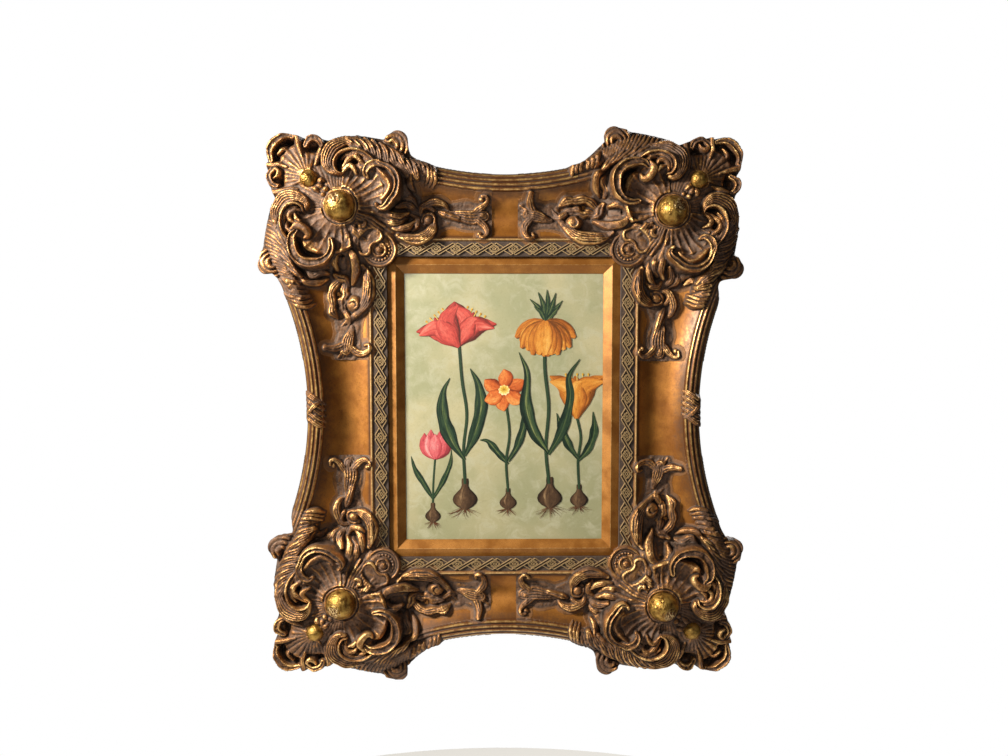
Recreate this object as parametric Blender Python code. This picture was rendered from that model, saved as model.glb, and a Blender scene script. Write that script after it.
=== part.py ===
"""A framed oil painting: a carved and gilt swept frame with scrolled corners, its liner, panel and hanger.

Sizes are in millimetres and are turned into metres when a mesh is made. The wall is the plane y = 0 and the
front faces -Y. The origin is the hanger's middle, behind the top rail.
"""
import bmesh
import bpy
import numpy as np
from mathutils import Vector
from mathutils.geometry import delaunay_2d_cdt

# Driving dimensions, mm
SIGHT_WIDTH, SIGHT_HEIGHT = 292.0, 394.0  # the part of the painting that shows
BOSS_SIDE, BOSS_TOP = 85.0, 92.0  # from the sight corner to a corner's boss, along its two arms
BAND_IN, BAND_OUT, FILLET_OUT = 24.0, 46.0, 51.0  # lattice band and fillet, from the sight edge
RAIL_OUT, RAIL_WIDTH = 142.0, 27.0  # outer rail at the middle of a side
SWEEP_RADIUS = 466.0  # each side bows inwards on this radius
BOSS, BOSS_RADIUS, BOSS_HEIGHT = (-2.5, 1.0), 21.5, 97.0
BALL, BALL_RADIUS, BALL_HEIGHT = (-47.0, 40.5), 13.0, 76.5
ROSETTE, ROSETTE_RADIUS = (51.0, -59.0), 25.0
BAND_HEIGHT, FILLET_HEIGHT = 46.0, 48.7
COVE_INNER_HEIGHT, COVE_OUTER_HEIGHT, COVE_DEPTH = 45.5, 56.0, 14.0
RAIL_HEIGHT = 63.0
REBATE, REBATE_HEIGHT, LIP_HEIGHT = 33.0, 32.0, 43.2  # the step behind that holds the liner
LINER_RIDGE, LINER_RIDGE_HEIGHT = 12.5, 43.0
LINER_SIGHT_HEIGHT, LINER_EDGE_HEIGHT, LINER_BACK = 35.4, 39.4, 25.0
PANEL_MARGIN, PANEL_FRONT, PANEL_THICKNESS = 6.5, 34.2, 4.0
HANGER_RISE = 290.0  # from the frame's centre up to the hanger
HANGER_LENGTH, HANGER_WIDTH, HANGER_THICKNESS, HANGER_TEETH = 60.0, 14.0, 1.5, 9
GAP = 0.3  # between pieces that touch
WALL_RINGS = ((30.0, 1.5), (12.0, 5.0), (-4.0, 6.0))  # height and inset of the side wall, down to its trim

GRID = 2.6  # spacing of the relief's points before it is simplified
OUTLINE_STEP = 3.2
FRAME_TRIANGLES = 8600
MM = 0.001
HALF = np.array([SIGHT_WIDTH, SIGHT_HEIGHT]) / 2


# ---- curves and relief ---------------------------------------------------------------------------------

def smooth(a, b, x):
    """0 up to a, 1 from b on, and a smooth step between."""
    t = np.clip((x - a) / (b - a), 0, 1)
    return t * t * (3 - 2 * t)


def arc(cu, cw, radius, start, end, end_radius=None):
    """Points of an arc, in degrees, or of a spiral where end_radius differs."""
    t = np.linspace(0, 1, max(4, int(abs(end - start) / 12) + 2))
    angle = np.radians(start + (end - start) * t)
    r = radius + ((radius if end_radius is None else end_radius) - radius) * t
    return np.stack([cu + r * np.cos(angle), cw + r * np.sin(angle)], 1)


def curve(*points, steps=5):
    """A smooth curve through a few points."""
    p = np.array(points, float)
    p = np.concatenate([[2 * p[0] - p[1]], p, [2 * p[-1] - p[-2]]])
    found = []
    for a, b, c, d in zip(p, p[1:], p[2:], p[3:]):
        for t in np.arange(steps) / steps:
            bend = (2 * a - 5 * b + 4 * c - d) * t * t + (3 * b - a - 3 * c + d) * t ** 3
            found.append(0.5 * (2 * b + (c - a) * t + bend))
    found.append(p[-2])
    return np.array(found)


def resampled(path, step):
    """The same path with its points about a step apart."""
    run = np.concatenate([[0], np.cumsum(np.hypot(*np.diff(path, axis=0).T))])
    at = np.linspace(0, run[-1], int(run[-1] / step) + 1)
    return np.stack([np.interp(at, run, path[:, 0]), np.interp(at, run, path[:, 1])], 1)


def spread(value, t):
    """A constant, or values spread evenly from the start (t = 0) to the end (t = 1) of a path."""
    if np.ndim(value) == 0:
        return value
    return np.interp(t, np.linspace(0, 1, len(value)), value)


def nearest(path, p):
    """For each point: its distance to the path, the side it lies on (1 is left) and how far along it is."""
    a, ab = path[:-1], np.diff(path, axis=0)
    length = np.hypot(ab[:, 0], ab[:, 1])
    rel = p[:, None] - a
    t = np.clip((rel * ab).sum(-1) / np.maximum(length ** 2, 1e-9), 0, 1)
    off = rel - t[..., None] * ab
    d = np.hypot(off[..., 0], off[..., 1])
    k = d.argmin(1)
    i = np.arange(len(p))
    cross = ab[k, 0] * rel[i, k, 1] - ab[k, 1] * rel[i, k, 0]
    run = np.concatenate([[0], np.cumsum(length)])
    return d[i, k], np.sign(cross), (run[k] + t[i, k] * length[k]) / run[-1]


def signed_distance(path, p, chunk=4000):
    """Distance to the path, positive on its left."""
    parts = [nearest(path, p[i:i + chunk]) for i in range(0, len(p), chunk)]
    return np.concatenate([side * d for d, side, _ in parts])


class Relief:
    """Heights z over points p, on which ornaments are laid one after another, the highest showing."""

    def __init__(self, u, w, z):
        self.p = np.stack([u, w], 1)
        self.z = np.array(z, float)
        self.floor = self.z.copy()

    def near(self, path, margin):
        low, high = path.min(0) - margin, path.max(0) + margin
        return np.flatnonzero(((self.p > low) & (self.p < high)).all(1))

    def raise_to(self, index, z):
        self.z[index] = np.maximum(self.z[index], z)

    def stroke(self, path, width, top, crown=0.45, draft=2.2, draped=False):
        """A carved stroke, its half width and top given along it; draped, its top counts from the floor."""
        i = self.near(path, np.max(width) + 8)
        if len(i):
            d, _, t = nearest(path, self.p[i])
            half = spread(width, t)
            q = np.minimum(d / half, 1)
            z = spread(top, t) - crown * half * q * q - draft * np.maximum(d - half, 0)
            self.raise_to(i, self.floor[i] + z if draped else z)

    def ball(self, cu, cw, radius, top, draped=False):
        i = self.near(np.array([[cu, cw]]), radius)
        d = np.hypot(*(self.p[i] - (cu, cw)).T)
        i, d = i[d < radius], d[d < radius]
        z = top - radius + np.sqrt(radius ** 2 - d ** 2)
        self.raise_to(i, z + np.min(self.floor[i]) if draped and len(i) else z)

    def hollow(self, cu, cw, radius, depth):
        i = self.near(np.array([[cu, cw]]), 3 * radius)
        d = np.hypot(*(self.p[i] - (cu, cw)).T)
        self.z[i] -= depth * np.exp(-(d / radius) ** 2)

    def fan(self, cu, cw, start, end, inner, outer, top, dip, ribs, rib):
        """A shell of ribs from radius inner to outer, going from top[0] to top[1] with a dip between."""
        rel = self.p - (cu, cw)
        r = np.hypot(*rel.T)
        mid = (start + end) / 2
        angle = (np.degrees(np.arctan2(rel[:, 1], rel[:, 0])) - mid + 180) % 360 - 180 + mid
        f = (angle - start) / (end - start)
        t = (r - inner) / (spread(outer, np.clip(f, 0, 1)) - inner)
        i = np.flatnonzero((f > 0) & (f < 1) & (t > 0) & (t < 1))
        t, f = t[i], f[i]
        z = top[0] + (top[1] - top[0]) * t - dip * 4 * t * (1 - t)
        z += rib * np.clip(2.5 * t, 0.3, 1) * (np.abs(np.sin(np.pi * ribs * f)) - 1)
        self.raise_to(i, z)


# ---- the running moulding ------------------------------------------------------------------------------

def sweep(distance):
    """How far the rail bows out at this distance from the middle of its side."""
    return SWEEP_RADIUS - np.sqrt(np.maximum(SWEEP_RADIUS ** 2 - distance ** 2, 0))


def lattice(s, along):
    """A chain of lozenges down the middle of the flat band."""
    length, half_width, rise = 26.0, 9.0, 1.6
    a = np.abs((along / length) % 1 - 0.5) * 2
    b = np.abs(s - (BAND_IN + BAND_OUT) / 2) / half_width
    return rise * np.clip(1.1 - a - b, 0, 1)


def moulding(s, out, along, rail):
    """Height at s from the sight edge, with the rail's outer edge at out; rail fades it under a corner."""
    rail_in = out - RAIL_WIDTH
    band = BAND_HEIGHT + lattice(s, along)
    q = (s - BAND_OUT - 3) / 2
    fillet = BAND_HEIGHT + (FILLET_HEIGHT - BAND_HEIGHT) * np.sqrt(np.clip(1 - q * q, 0, 1))
    t = np.clip((s - FILLET_OUT) / (rail_in - FILLET_OUT), 0, 1)
    cove = COVE_INNER_HEIGHT + (COVE_OUTER_HEIGHT - COVE_INNER_HEIGHT) * t - COVE_DEPTH * 4 * t * (1 - t)
    r = np.clip((s - rail_in) / RAIL_WIDTH, 0, 1)
    bead = RAIL_HEIGHT - 10 + 10 * np.sqrt(np.clip(1 - (2 * r - 1) ** 2, 0, 1)) - 10 * r ** 3
    bead -= 1.5 * (1 - np.abs(np.sin(4 * np.pi * r))) * np.clip(8 * r * (1 - r), 0, 1)
    z = np.where(s < BAND_OUT, band, np.where(s < FILLET_OUT, fillet, cove))
    return np.where(s > rail_in, cove + (bead - cove) * rail, z)


# ---- one corner casting, in its own u (along its top arm) and w (outwards), with the boss at 0, 0 --------

def casting_edge():
    """Its outer edge, from its end on the side arm, round the corner, to its end on the top arm."""
    return np.concatenate([
        curve((-77, -134), (-84, -123), (-90, -110), (-98, -98), (-104, -93), steps=4),
        arc(-109.5, -81, 14, 250, 150),
        curve((-119, -62), (-116, -42), (-112, -22), (-107, -3), (-101, 10), (-99, 19), (-104, 30), steps=3),
        arc(-91.5, 44, 17.5, 190, 165),
        arc(-81.5, 77.5, 27.5, 195, 70),
        arc(-41, 87, 16, 130, 45),
        curve((-22, 97), (-4, 101), (17, 104), (38, 102), (58, 99), (64, 102), steps=4),
        arc(79, 95, 14.5, 140, -10),
        curve((95, 82), (98, 75), (107, 70), (118, 67), (124, 66), (130, 58), steps=3),
    ])


def ground(u, w, edge):
    """Height of the casting's body under its ornaments; edge is the distance inside its outline."""
    g = 47.5 + 24 * np.exp(-((u - BOSS[0]) ** 2 + (w - BOSS[1]) ** 2) / 64 ** 2)
    g += 8 * np.exp(-((u - BALL[0]) ** 2 + (w - BALL[1]) ** 2) / 28 ** 2)
    g += 5 * np.exp(-((u - 51) ** 2 + (w + 59) ** 2) / 31 ** 2)
    g -= 7 * np.exp(-np.maximum(edge, 0) / 4)
    return g - 14 * smooth(62, 98, u) - 14 * smooth(70, 105, -w)


def outer_shell(f):
    """Three lobes with raised rims round pits, and flutes that run to the small ball."""
    f.hollow(-93, 84, 6, 9)
    f.hollow(-80, 92, 6, 9)
    f.hollow(-47, 85, 6, 9)
    f.hollow(-88, 44, 5, 9)
    f.fan(*BALL, 96, 200, 11, [46, 50, 50, 48, 44, 40, 38], (68, 57), 1, 9, 2.4)
    f.stroke(arc(-81.5, 77.5, 23.6, 205, 68), [3, 3.9, 3.9, 3], [57, 59, 59, 57], draft=4)
    f.stroke(arc(-41, 86, 12.6, 165, 20), [2.4, 3.2, 3.4, 2.4], [57, 59, 59, 57], draft=4)
    f.stroke(arc(-90.5, 45, 14.4, 100, 262), [2.2, 3.2, 2.4], [56, 57, 58], draft=4)
    f.stroke(curve((-66, 102), (-63, 92), (-60, 82), (-57, 70)), [3.2, 3.2, 2.4, 1.2], [59, 60, 61, 62])
    f.stroke(curve((-108, 61), (-99, 61), (-90, 62), (-78, 58)), [2.4, 3, 2.4, 1.2], [57, 59, 60, 62])
    f.stroke(curve((-104, 26), (-86, 23), (-62, 26)), [2, 3.2, 1], [57, 62, 64])
    f.stroke(curve((-37, 28), (-29, 25), (-22, 25)), [3, 4, 3.6], [70, 73, 73])
    f.ball(*BALL, BALL_RADIUS, BALL_HEIGHT)


def gadroons(f, edge, root, count, low, high):
    """Leaning leaf strokes from the outer edge to the root line."""
    for k in range(count):
        a = edge[int(round((len(edge) - 1) * k / (count - 1)))]
        b = root[int(round((len(root) - 1) * min(1, (k + 0.9) / (count - 1))))]
        lean = 0.12 * np.array([a[1] - b[1], b[0] - a[0]])
        f.stroke(curve(a, (a + b) / 2 + lean, b), [2.6, 3.2, 2.2], [low, (low + high) / 2 + 2, high],
                 crown=0.8)


def leaf_bands(f):
    """The bands of leaf strokes along both outer edges, and the curled ears that end them."""
    edge = curve((-14, 99), (4, 101), (22, 102), (40, 100), (57, 95), (74, 92), (88, 80), (98, 70),
                 (112, 64))
    root = curve((-6, 80), (10, 78), (27, 77), (45, 72), (60, 64), (72, 58), (84, 50), (95, 44), (104, 38))
    gadroons(f, edge, root, 13, 56, 66)
    edge = curve((-99, 2), (-104, -12), (-109, -30), (-113, -48), (-112, -66), (-104, -82), (-96, -94),
                 (-88, -106))
    root = curve((-84, -8), (-88, -22), (-86, -40), (-82, -56), (-76, -68), (-70, -82), (-64, -94),
                 (-58, -104))
    gadroons(f, edge, root, 12, 56, 66)
    for n, radius in enumerate((6.5, 13.5, 20.5)):
        f.stroke(arc(72, 88, radius, 125, -30), [1.6, 3.7, 3.8, 1.6], 59 - 1.2 * n, draft=4)
        f.stroke(arc(-102, -77, radius, 115, 290), [1.4, 3.6, 3.7, 1.4], 58 - 1.2 * n, draft=4)


def acanthus_hooks(f):
    """The two hooked leaves beside the boss, each a broad leaf round a narrow inner rim."""
    f.stroke(curve((34, 94), (14, 95), (-4, 90), (-15, 81), (-20, 69), (-19, 58), (-13, 50), (-4, 47)),
             [2, 4, 7.5, 9.5, 10, 8.5, 5.5, 2], [62, 66, 69, 72, 74, 76, 76.5, 75], crown=0.3, draft=4)
    f.stroke(curve((46, 68), (33, 76), (20, 80), (8, 79), (-2, 74), (-8, 66), (-9, 57), (-6, 50), (0, 47)),
             [1.4, 2, 2.2, 2.2, 2.2, 2.2, 2, 1.8, 1.4], [74, 77, 79, 80.5, 81, 81, 80, 79, 77], draft=4)
    f.stroke(curve((0, 51), (5, 60), (13, 68), (22, 69), (29, 62), (37, 56)), [1, 3, 4, 4, 3, 1],
             [72, 74, 76.5, 77, 76, 74])
    f.stroke(curve((22, 52), (27, 60), (35, 66), (45, 66), (52, 61)), [1.2, 3, 3.6, 3, 1.4],
             [70, 73, 74, 73, 71])
    f.stroke(curve((-98, -30), (-98, -14), (-93, 1), (-84, 11), (-71, 16), (-58, 14), (-50, 6), (-50, -3)),
             [1.6, 4, 7, 8.5, 9, 7.5, 5, 1.8], [60, 63, 66, 70, 74, 77, 77.5, 75], crown=0.3, draft=4)
    f.stroke(curve((-79, -44), (-85, -30), (-87, -16), (-83, -4), (-74, 4), (-64, 5), (-56, 0), (-54, -6)),
             [1.4, 2, 2.2, 2.2, 2.2, 2.2, 2, 1.4], [74, 77, 79, 80.5, 81, 80.5, 79, 77], draft=4)
    f.stroke(curve((-58, -6), (-66, -5), (-73, -10), (-73, -18), (-67, -22)), [1, 3, 3.6, 3.2, 1.2],
             [73, 76, 77, 77, 75])


def scroll_shells(f):
    """The fluted shells on two sides of the boss, each closed by a C-scroll."""
    f.fan(*BOSS, -10, 84, 27, [50, 60, 68, 70, 66, 60, 54], (73, 73), 6, 7, 2.8)
    f.fan(*BOSS, 184, 286, 27, [58, 66, 74, 74, 70, 62, 56], (73, 73), 7, 7, 2.8)
    f.stroke(curve((48, 3), (56, 0.5), (66, 4.5), (74, 13), (78, 26), (77.5, 40), (72, 51), (64, 58),
                   (54, 62), (44, 60),
                   (36, 54), (35, 46)),
             [1.4, 2.4, 3, 3.3, 3.4, 3.4, 3.4, 3.4, 4, 4.6, 4.4, 2], [77, 80, 81, 81.5, 81.5, 81.5, 81.5,
             81, 80, 80, 79, 76],
             crown=0.2, draft=4)
    f.stroke(curve((-70, -31), (-63, -27), (-55, -28), (-49, -34), (-49, -41)), [1.6, 4, 5, 4.6, 2.4],
             [78, 81, 82, 81, 77], draft=4)
    f.stroke(curve((-63, -33), (-70, -41), (-72, -52), (-68.5, -64), (-61, -73), (-50, -78.5),
                   (-37, -79.5), (-26, -76),
                   (-18, -68), (-15.5, -57), (-17, -47)),
             [2, 4.4, 5.2, 5.6, 5.6, 5.4, 5, 4.6, 4, 3.4, 2], [78, 80.5, 81.5, 81.5, 81.5, 81.5, 81.5, 81,
             80.5, 80, 77],
             crown=0.2, draft=4)
    f.stroke(arc(*BOSS, BOSS_RADIUS + 3, 0, 360), 2.2, 71)
    f.ball(*BOSS, BOSS_RADIUS, BOSS_HEIGHT)


def rosette(f):
    """The round flower at the inner corner, and the leaves that lead to it."""
    f.stroke(curve((18, -26), (27, -28), (40, -22), (54, -24), (66, -30)), [4, 8, 9, 7, 2],
             [66, 67, 66, 63, 58])
    f.stroke(curve((28, 0), (42, -6), (58, -8), (72, -16)), [3, 6, 7, 3], [67, 66, 64, 58])
    f.stroke(curve((16, -30), (16, -46), (8, -60), (4, -70)), [3, 5, 5, 2], [66, 65, 63, 60])
    loop = curve((20, -55), (22, -45), (29, -37), (38, -31), (47, -29.5), (53.5, -34), (55, -41), (50, -46.5),
                 (43, -50),
                 (39, -55), (38, -62), (32, -66), (25, -64), (20, -55))
    f.stroke(loop, 2, 62)
    f.stroke(arc(*ROSETTE, ROSETTE_RADIUS / 2, 0, 360), ROSETTE_RADIUS / 2, 54, crown=0.1)
    f.stroke(arc(*ROSETTE, ROSETTE_RADIUS - 1.5, 0, 360), 2.4, 56)
    f.stroke(arc(*ROSETTE, 10, 0, 360), 2.2, 58)
    f.ball(*ROSETTE, 5.5, 62)


def rail_wraps(f):
    """Leaves wrapped over the rail where it leaves the corner, and the ragged cuff that ends them."""
    for k in range(4):
        f.stroke(curve((95 + 6.2 * k, 69 - 2 * k), (101 + 6.2 * k, 58 - 2 * k),
                       (104 + 6.2 * k, 42 - 2 * k)),
                 [2.2, 3.6, 3.4, 2], [57, 67.5 - k, 66 - k, 58 - k], crown=0.3)
        f.stroke(curve((-88 + 3.6 * k, -99 - 7 * k), (-76 + 3.6 * k, -106 - 7 * k),
                       (-62 + 3.6 * k, -105 - 7 * k)),
                 [2.2, 3.6, 3.4, 2], [57, 67.5 - k, 66 - k, 58 - k], crown=0.3)
    for k in range(3):
        f.stroke(curve((117 + 5.4 * k, 64 - 2 * k), (121 + 5.4 * k, 55 - 2 * k),
                       (122 + 5.4 * k, 44 - 2 * k),
                       (117 + 6 * k, 32 - 2 * k)),
                 [1.8, 3, 3.2, 1.8], [55, 67, 66.5, 53], crown=0.6)
        f.stroke(curve((-85 + 3 * k, -121 - 6 * k), (-74 + 3 * k, -127 - 6 * k),
                       (-62 + 3 * k, -129 - 6 * k),
                       (-50 + 3 * k, -124 - 6 * k)),
                 [1.8, 3, 3.2, 1.8], [55, 67, 66.5, 53], crown=0.6)


def top_spray(f):
    """The spray that lies in the cove of the top arm: leaves, a bud and a forked end."""
    lay = {"draped": True, "draft": 4}
    f.stroke(curve((78, 2), (104, -12), (130, -11), (160, -8), (190, -11), (204, -12)),
             [30, 26, 17, 11, 15, 13], 3, crown=0.05,
             draft=0.4, draped=True)
    f.stroke(curve((83, 46), (84, 34), (90, 22), (102, 13)), [3, 6, 6, 2], [17, 17, 13, 6], **lay)
    f.stroke(curve((96, 46), (95, 36), (101, 26)), [2, 5, 1.5], [10, 12, 6], **lay)
    f.stroke(curve((82, 14), (90, 16), (99, 12), (106, 4)), [1.6, 5, 5, 1.6], [12, 14, 12, 6], **lay)
    f.stroke(curve((78, 2), (88, 6), (98, 3), (106, -5)), [2, 5, 5, 1.6], [14, 16, 13, 7], **lay)
    f.stroke(curve((60, -4), (70, -8), (81, -10), (93, -6)), [3, 5, 4.6, 1.4], [62, 64, 61, 53])
    f.stroke(curve((60, -16), (69, -20), (79, -20), (89, -14)), [3, 5, 4.6, 1.4], [60, 62, 59, 52])
    f.stroke(curve((72, -28), (82, -29), (94, -26), (103, -18)), [2.5, 4.8, 4.6, 1.4], [57, 59, 57, 51])
    f.stroke(curve((92, -2), (102, -4), (112, -10), (116, -22)), [5, 9, 9, 5], [8, 9, 9, 8], **lay)
    f.stroke(curve((98, -8), (105, -14), (106, -24), (100, -31)), [1.8, 4, 4, 1.8], [11, 14, 14, 9], **lay)
    f.stroke(curve((78, -38), (92, -43), (108, -44), (120, -38), (128, -28), (131, -16)),
             [2.4, 6, 7.4, 7.6, 6, 2], [10, 12, 13, 14, 14, 9], crown=0.2, **lay)
    f.stroke(curve((129, -3), (121, 4), (113, 1), (111, -7), (116, -10)), [2, 3, 3.4, 3, 1.6],
             [10, 12, 12, 11, 9], **lay)
    f.stroke(arc(122, -16, 9.4, 200, -20), [1, 1.8, 1], 11, **lay)
    f.ball(122, -16, 7.2, 15, draped=True)
    f.stroke(curve((108, -2), (116, 6), (126, 9), (138, 8), (147, 4), (152, -2)),
             [2, 4.4, 5.4, 5, 3.8, 1.4],
             [8, 12, 13, 12, 10, 5], crown=0.3, **lay)
    f.stroke(curve((136, -5), (146, -8), (156, -10), (166, -12), (175, -17)), [2, 4.6, 4.8, 4, 1.4],
             [7, 12, 12.5, 11, 5], **lay)
    f.stroke(curve((150, -5), (164, -7), (178, -11), (190, -12), (202, -11)), [2.4, 5.8, 8, 9, 7],
             [6, 9, 10.5, 10, 7], crown=0.2, **lay)
    f.stroke(curve((187, -8), (194, -2), (202, 4), (206, 11), (204, 17), (198, 17)),
             [3.4, 5, 4.4, 3, 2, 1.6],
             [9, 9, 8.5, 8, 7, 6], crown=0.3, **lay)
    f.stroke(curve((187, -13), (195, -17), (203, -24), (206, -32), (202, -39), (196, -39)),
             [3.4, 4.8, 4.4, 3.4, 2.2, 1.6],
             [9, 9, 8.5, 8, 7, 6], crown=0.3, **lay)
    f.stroke(curve((190, -10), (199, -10), (209, -14)), [2.6, 3, 0.8], [9, 9, 4], **lay)
    f.ball(197, 13, 3.6, 7.5, draped=True)
    f.ball(195, -36, 3.8, 7.5, draped=True)


def side_spray(f):
    """The spray in the side arm's cove: a curled leaf, a crescent, a bud, lobed leaves and a forked end."""
    lay = {"draped": True, "draft": 4}
    f.stroke(curve((-6, -82), (4, -104), (6, -130), (4, -156), (3, -184), (2, -202)),
             [34, 28, 24, 16, 13, 18], 3, crown=0.05,
             draft=0.4, draped=True)
    f.hollow(-2.5, -77, 5, 9)
    f.stroke(curve((-5, -63), (4, -60.5), (11.5, -65), (16, -75), (17, -87), (14, -99), (12, -108)),
             [1.5, 3.4, 5.2, 6.2, 6.2, 4.4, 1.4], [62, 66, 67.5, 67, 64, 58, 51], crown=0.2, draft=5)
    f.stroke(curve((-3, -63), (-10, -68), (-13, -77), (-10, -86)), [1.5, 4.2, 4.8, 2], [62, 66, 65, 59],
             draft=5)
    f.stroke(curve((-54, -88), (-45, -95), (-36, -91), (-25, -93)), [2, 4.8, 4.8, 2], [14, 15, 14, 8],
             **lay)
    f.ball(-35, -88, 4.4, 16, draped=True)
    f.stroke(curve((-44, -84), (-34, -80), (-24, -84)), [1.6, 3.4, 1.6], [14, 16, 12], **lay)
    f.stroke(curve((-62, -92), (-52, -104), (-38, -106), (-26, -100)), [2, 4.4, 4.4, 1.6], [12, 13, 12, 6],
             **lay)
    f.stroke(curve((-15, -95), (-8, -99), (1, -101), (6, -110)), [3, 5.4, 4.8, 1.6], [10, 13, 12, 6], **lay)
    f.stroke(curve((28, -84), (33, -96), (35, -110), (34, -123), (30, -134), (23, -144), (13, -153),
                   (3, -161), (-6, -167)),
             [3, 6.6, 8.4, 8.4, 7, 5.4, 4.2, 3.2, 1], [10, 12, 13, 13, 13, 12, 10, 8, 4], crown=0.2, **lay)
    f.stroke(curve((0, -106), (-1, -120), (-4, -134), (-3, -148)), [5, 8, 8, 4], [8, 9, 9, 7], **lay)
    f.stroke(curve((-8, -102), (-16, -111), (-19, -122), (-18, -134), (-18, -146), (-11, -156)),
             [4, 5.6, 6.6, 6, 6.4, 2],
             [9, 12, 13, 12, 12, 6], crown=0.3, **lay)
    f.hollow(-6.4, -121, 3.6, 9)
    f.hollow(-5, -153, 3.2, 7)
    f.ball(13, -137, 11, 16, draped=True)
    f.stroke(curve((6, -134), (11, -131), (17, -134), (18, -140), (13, -143)), [0.8, 1.4, 1.4, 1.2, 0.6],
             [15, 16.5, 16, 15, 14],
             draped=True, draft=2)
    f.stroke(curve((0, -148), (5, -157), (3, -167)), [3.4, 5, 1.6], [9, 10, 5], **lay)
    f.stroke(curve((8, -170), (6, -180), (3, -190), (0, -202)), [3.4, 6.4, 8.4, 8.4], [6, 9, 10.5, 9],
             crown=0.2, **lay)
    for n in range(3):
        f.stroke(curve((-3 + 2.4 * n, -197), (-7 + 4 * n, -206), (-12 + 6 * n, -214)), [2, 3, 0.8],
                 [9, 8.5, 3], **lay)
    f.stroke(curve((0, -193), (-9, -198), (-19, -201), (-28, -200)), [5, 5.4, 4.6, 3], [9, 9.5, 9, 8],
             **lay)
    f.ball(-29, -200, 4.8, 9.5, draped=True)
    f.stroke(curve((4, -197), (12, -204), (20, -208), (28, -207), (34, -201), (32, -195), (27, -196)),
             [3, 4.4, 4.8, 4.2, 3, 2, 1.4], [9, 9, 8.5, 8, 8, 7, 6], crown=0.3, **lay)


ORNAMENTS = (
    outer_shell, leaf_bands, acanthus_hooks, scroll_shells, rosette, rail_wraps, top_spray, side_spray,
)


def knot(f, side):
    """The ribbon wrapped round the rail at the middle of a long side."""
    rail = BOSS_SIDE - RAIL_OUT if side else RAIL_OUT - BOSS_TOP
    middle = arms(0)[1] if side else arms(1)[0]
    for lift in (-12.0, -4.0, 4.0, 12.0):
        run, lean = middle - lift, 5
        if side:
            path = curve((rail - 1, -run - lean), (rail + 13, -run), (rail + 28, -run + lean))
        else:
            path = curve((run + lean, rail + 1), (run, rail - 13), (run - lean, rail - 28))
        f.stroke(path, [4, 4.4, 4], [60, 68, 60], crown=0.6)


# ---- the four corners in the frame's own x and z, from its centre ---------------------------------------

def turned(k, a, b, back=False):
    """Turns a vector by k quarter turns clockwise, or back."""
    for _ in range((4 - k) % 4 if back else k):
        a, b = b, -a
    return a, b


def corner_sign(k):
    return ((-1, 1), (1, 1), (1, -1), (-1, -1))[k]


def to_casting(k, x, z):
    sx, sz = corner_sign(k)
    a, b = turned(k, x - sx * HALF[0], z - sz * HALF[1], back=True)
    return a + BOSS_SIDE, b - BOSS_TOP


def from_casting(k, u, w):
    sx, sz = corner_sign(k)
    a, b = turned(k, u - BOSS_SIDE, w + BOSS_TOP)
    return a + sx * HALF[0], b + sz * HALF[1]


def arms(k):
    """Lengths of corner k's top and side arm, from its boss to the middle of each side."""
    a, b = HALF if k % 2 == 0 else HALF[::-1]
    return a + BOSS_SIDE, b + BOSS_TOP


def corner_outline(k):
    """The outline of corner k in its own u, w, from the middle of one side to the middle of the next."""
    top, side = arms(k)
    edge = casting_edge()
    onto_rail = smooth(98, 136, edge[:, 0])
    edge[:, 1] += onto_rail * (RAIL_OUT + sweep(top - edge[:, 0]) - BOSS_TOP - edge[:, 1])
    onto_rail = smooth(98, 136, -edge[:, 1])
    edge[:, 0] += onto_rail * (BOSS_SIDE - RAIL_OUT - sweep(side + edge[:, 1]) - edge[:, 0])
    w = np.linspace(-side, edge[0, 1] - 4, 24)
    low = np.stack([BOSS_SIDE - RAIL_OUT - sweep(side + w), w], 1)
    u = np.linspace(edge[-1, 0] + 4, top, 20)
    high = np.stack([u, RAIL_OUT - BOSS_TOP + sweep(top - u)], 1)
    return np.concatenate([low, edge, high])


def corner_height(k, u, w):
    """The whole relief of corner k's quarter of the frame."""
    top, side = arms(k)
    to_top, to_side = w + BOSS_TOP, BOSS_SIDE - u
    z = np.where(
        to_top > to_side,
        moulding(to_top, RAIL_OUT + sweep(top - u), u - top, smooth(86, 118, u)),
        moulding(to_side, RAIL_OUT + sweep(side + w), w + side, smooth(90, 122, -w)),
    )
    edge = -signed_distance(corner_outline(k), np.stack([u, w], 1))
    body = ground(u, w, edge)
    under_corner = smooth(80, 120, np.maximum(to_top, to_side))
    under_corner *= (1 - smooth(80, 100, u)) * (1 - smooth(84, 104, -w))
    f = Relief(u, w, np.maximum(body, z + (body - z) * under_corner))
    for ornament in ORNAMENTS:
        ornament(f)
    knot(f, side=k % 2 == 0)
    return f.z


def height(points):
    """Height of the frame's face above the wall at points x, z."""
    z = np.zeros(len(points))
    for k in range(4):
        sx, sz = corner_sign(k)
        i = np.flatnonzero((points[:, 0] * sx >= 0) & (points[:, 1] * sz >= 0))
        z[i] = corner_height(k, *to_casting(k, points[i, 0], points[i, 1]))
    return z


# ---- meshes --------------------------------------------------------------------------------------------

def material(name, colour, roughness, metallic):
    made = bpy.data.materials.new(name)
    made.use_nodes = True
    shader = made.node_tree.nodes["Principled BSDF"]
    shader.inputs["Base Color"].default_value = (*colour, 1)
    shader.inputs["Roughness"].default_value = roughness
    shader.inputs["Metallic"].default_value = metallic
    made.diffuse_color = (*colour, 1)
    return made


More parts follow.
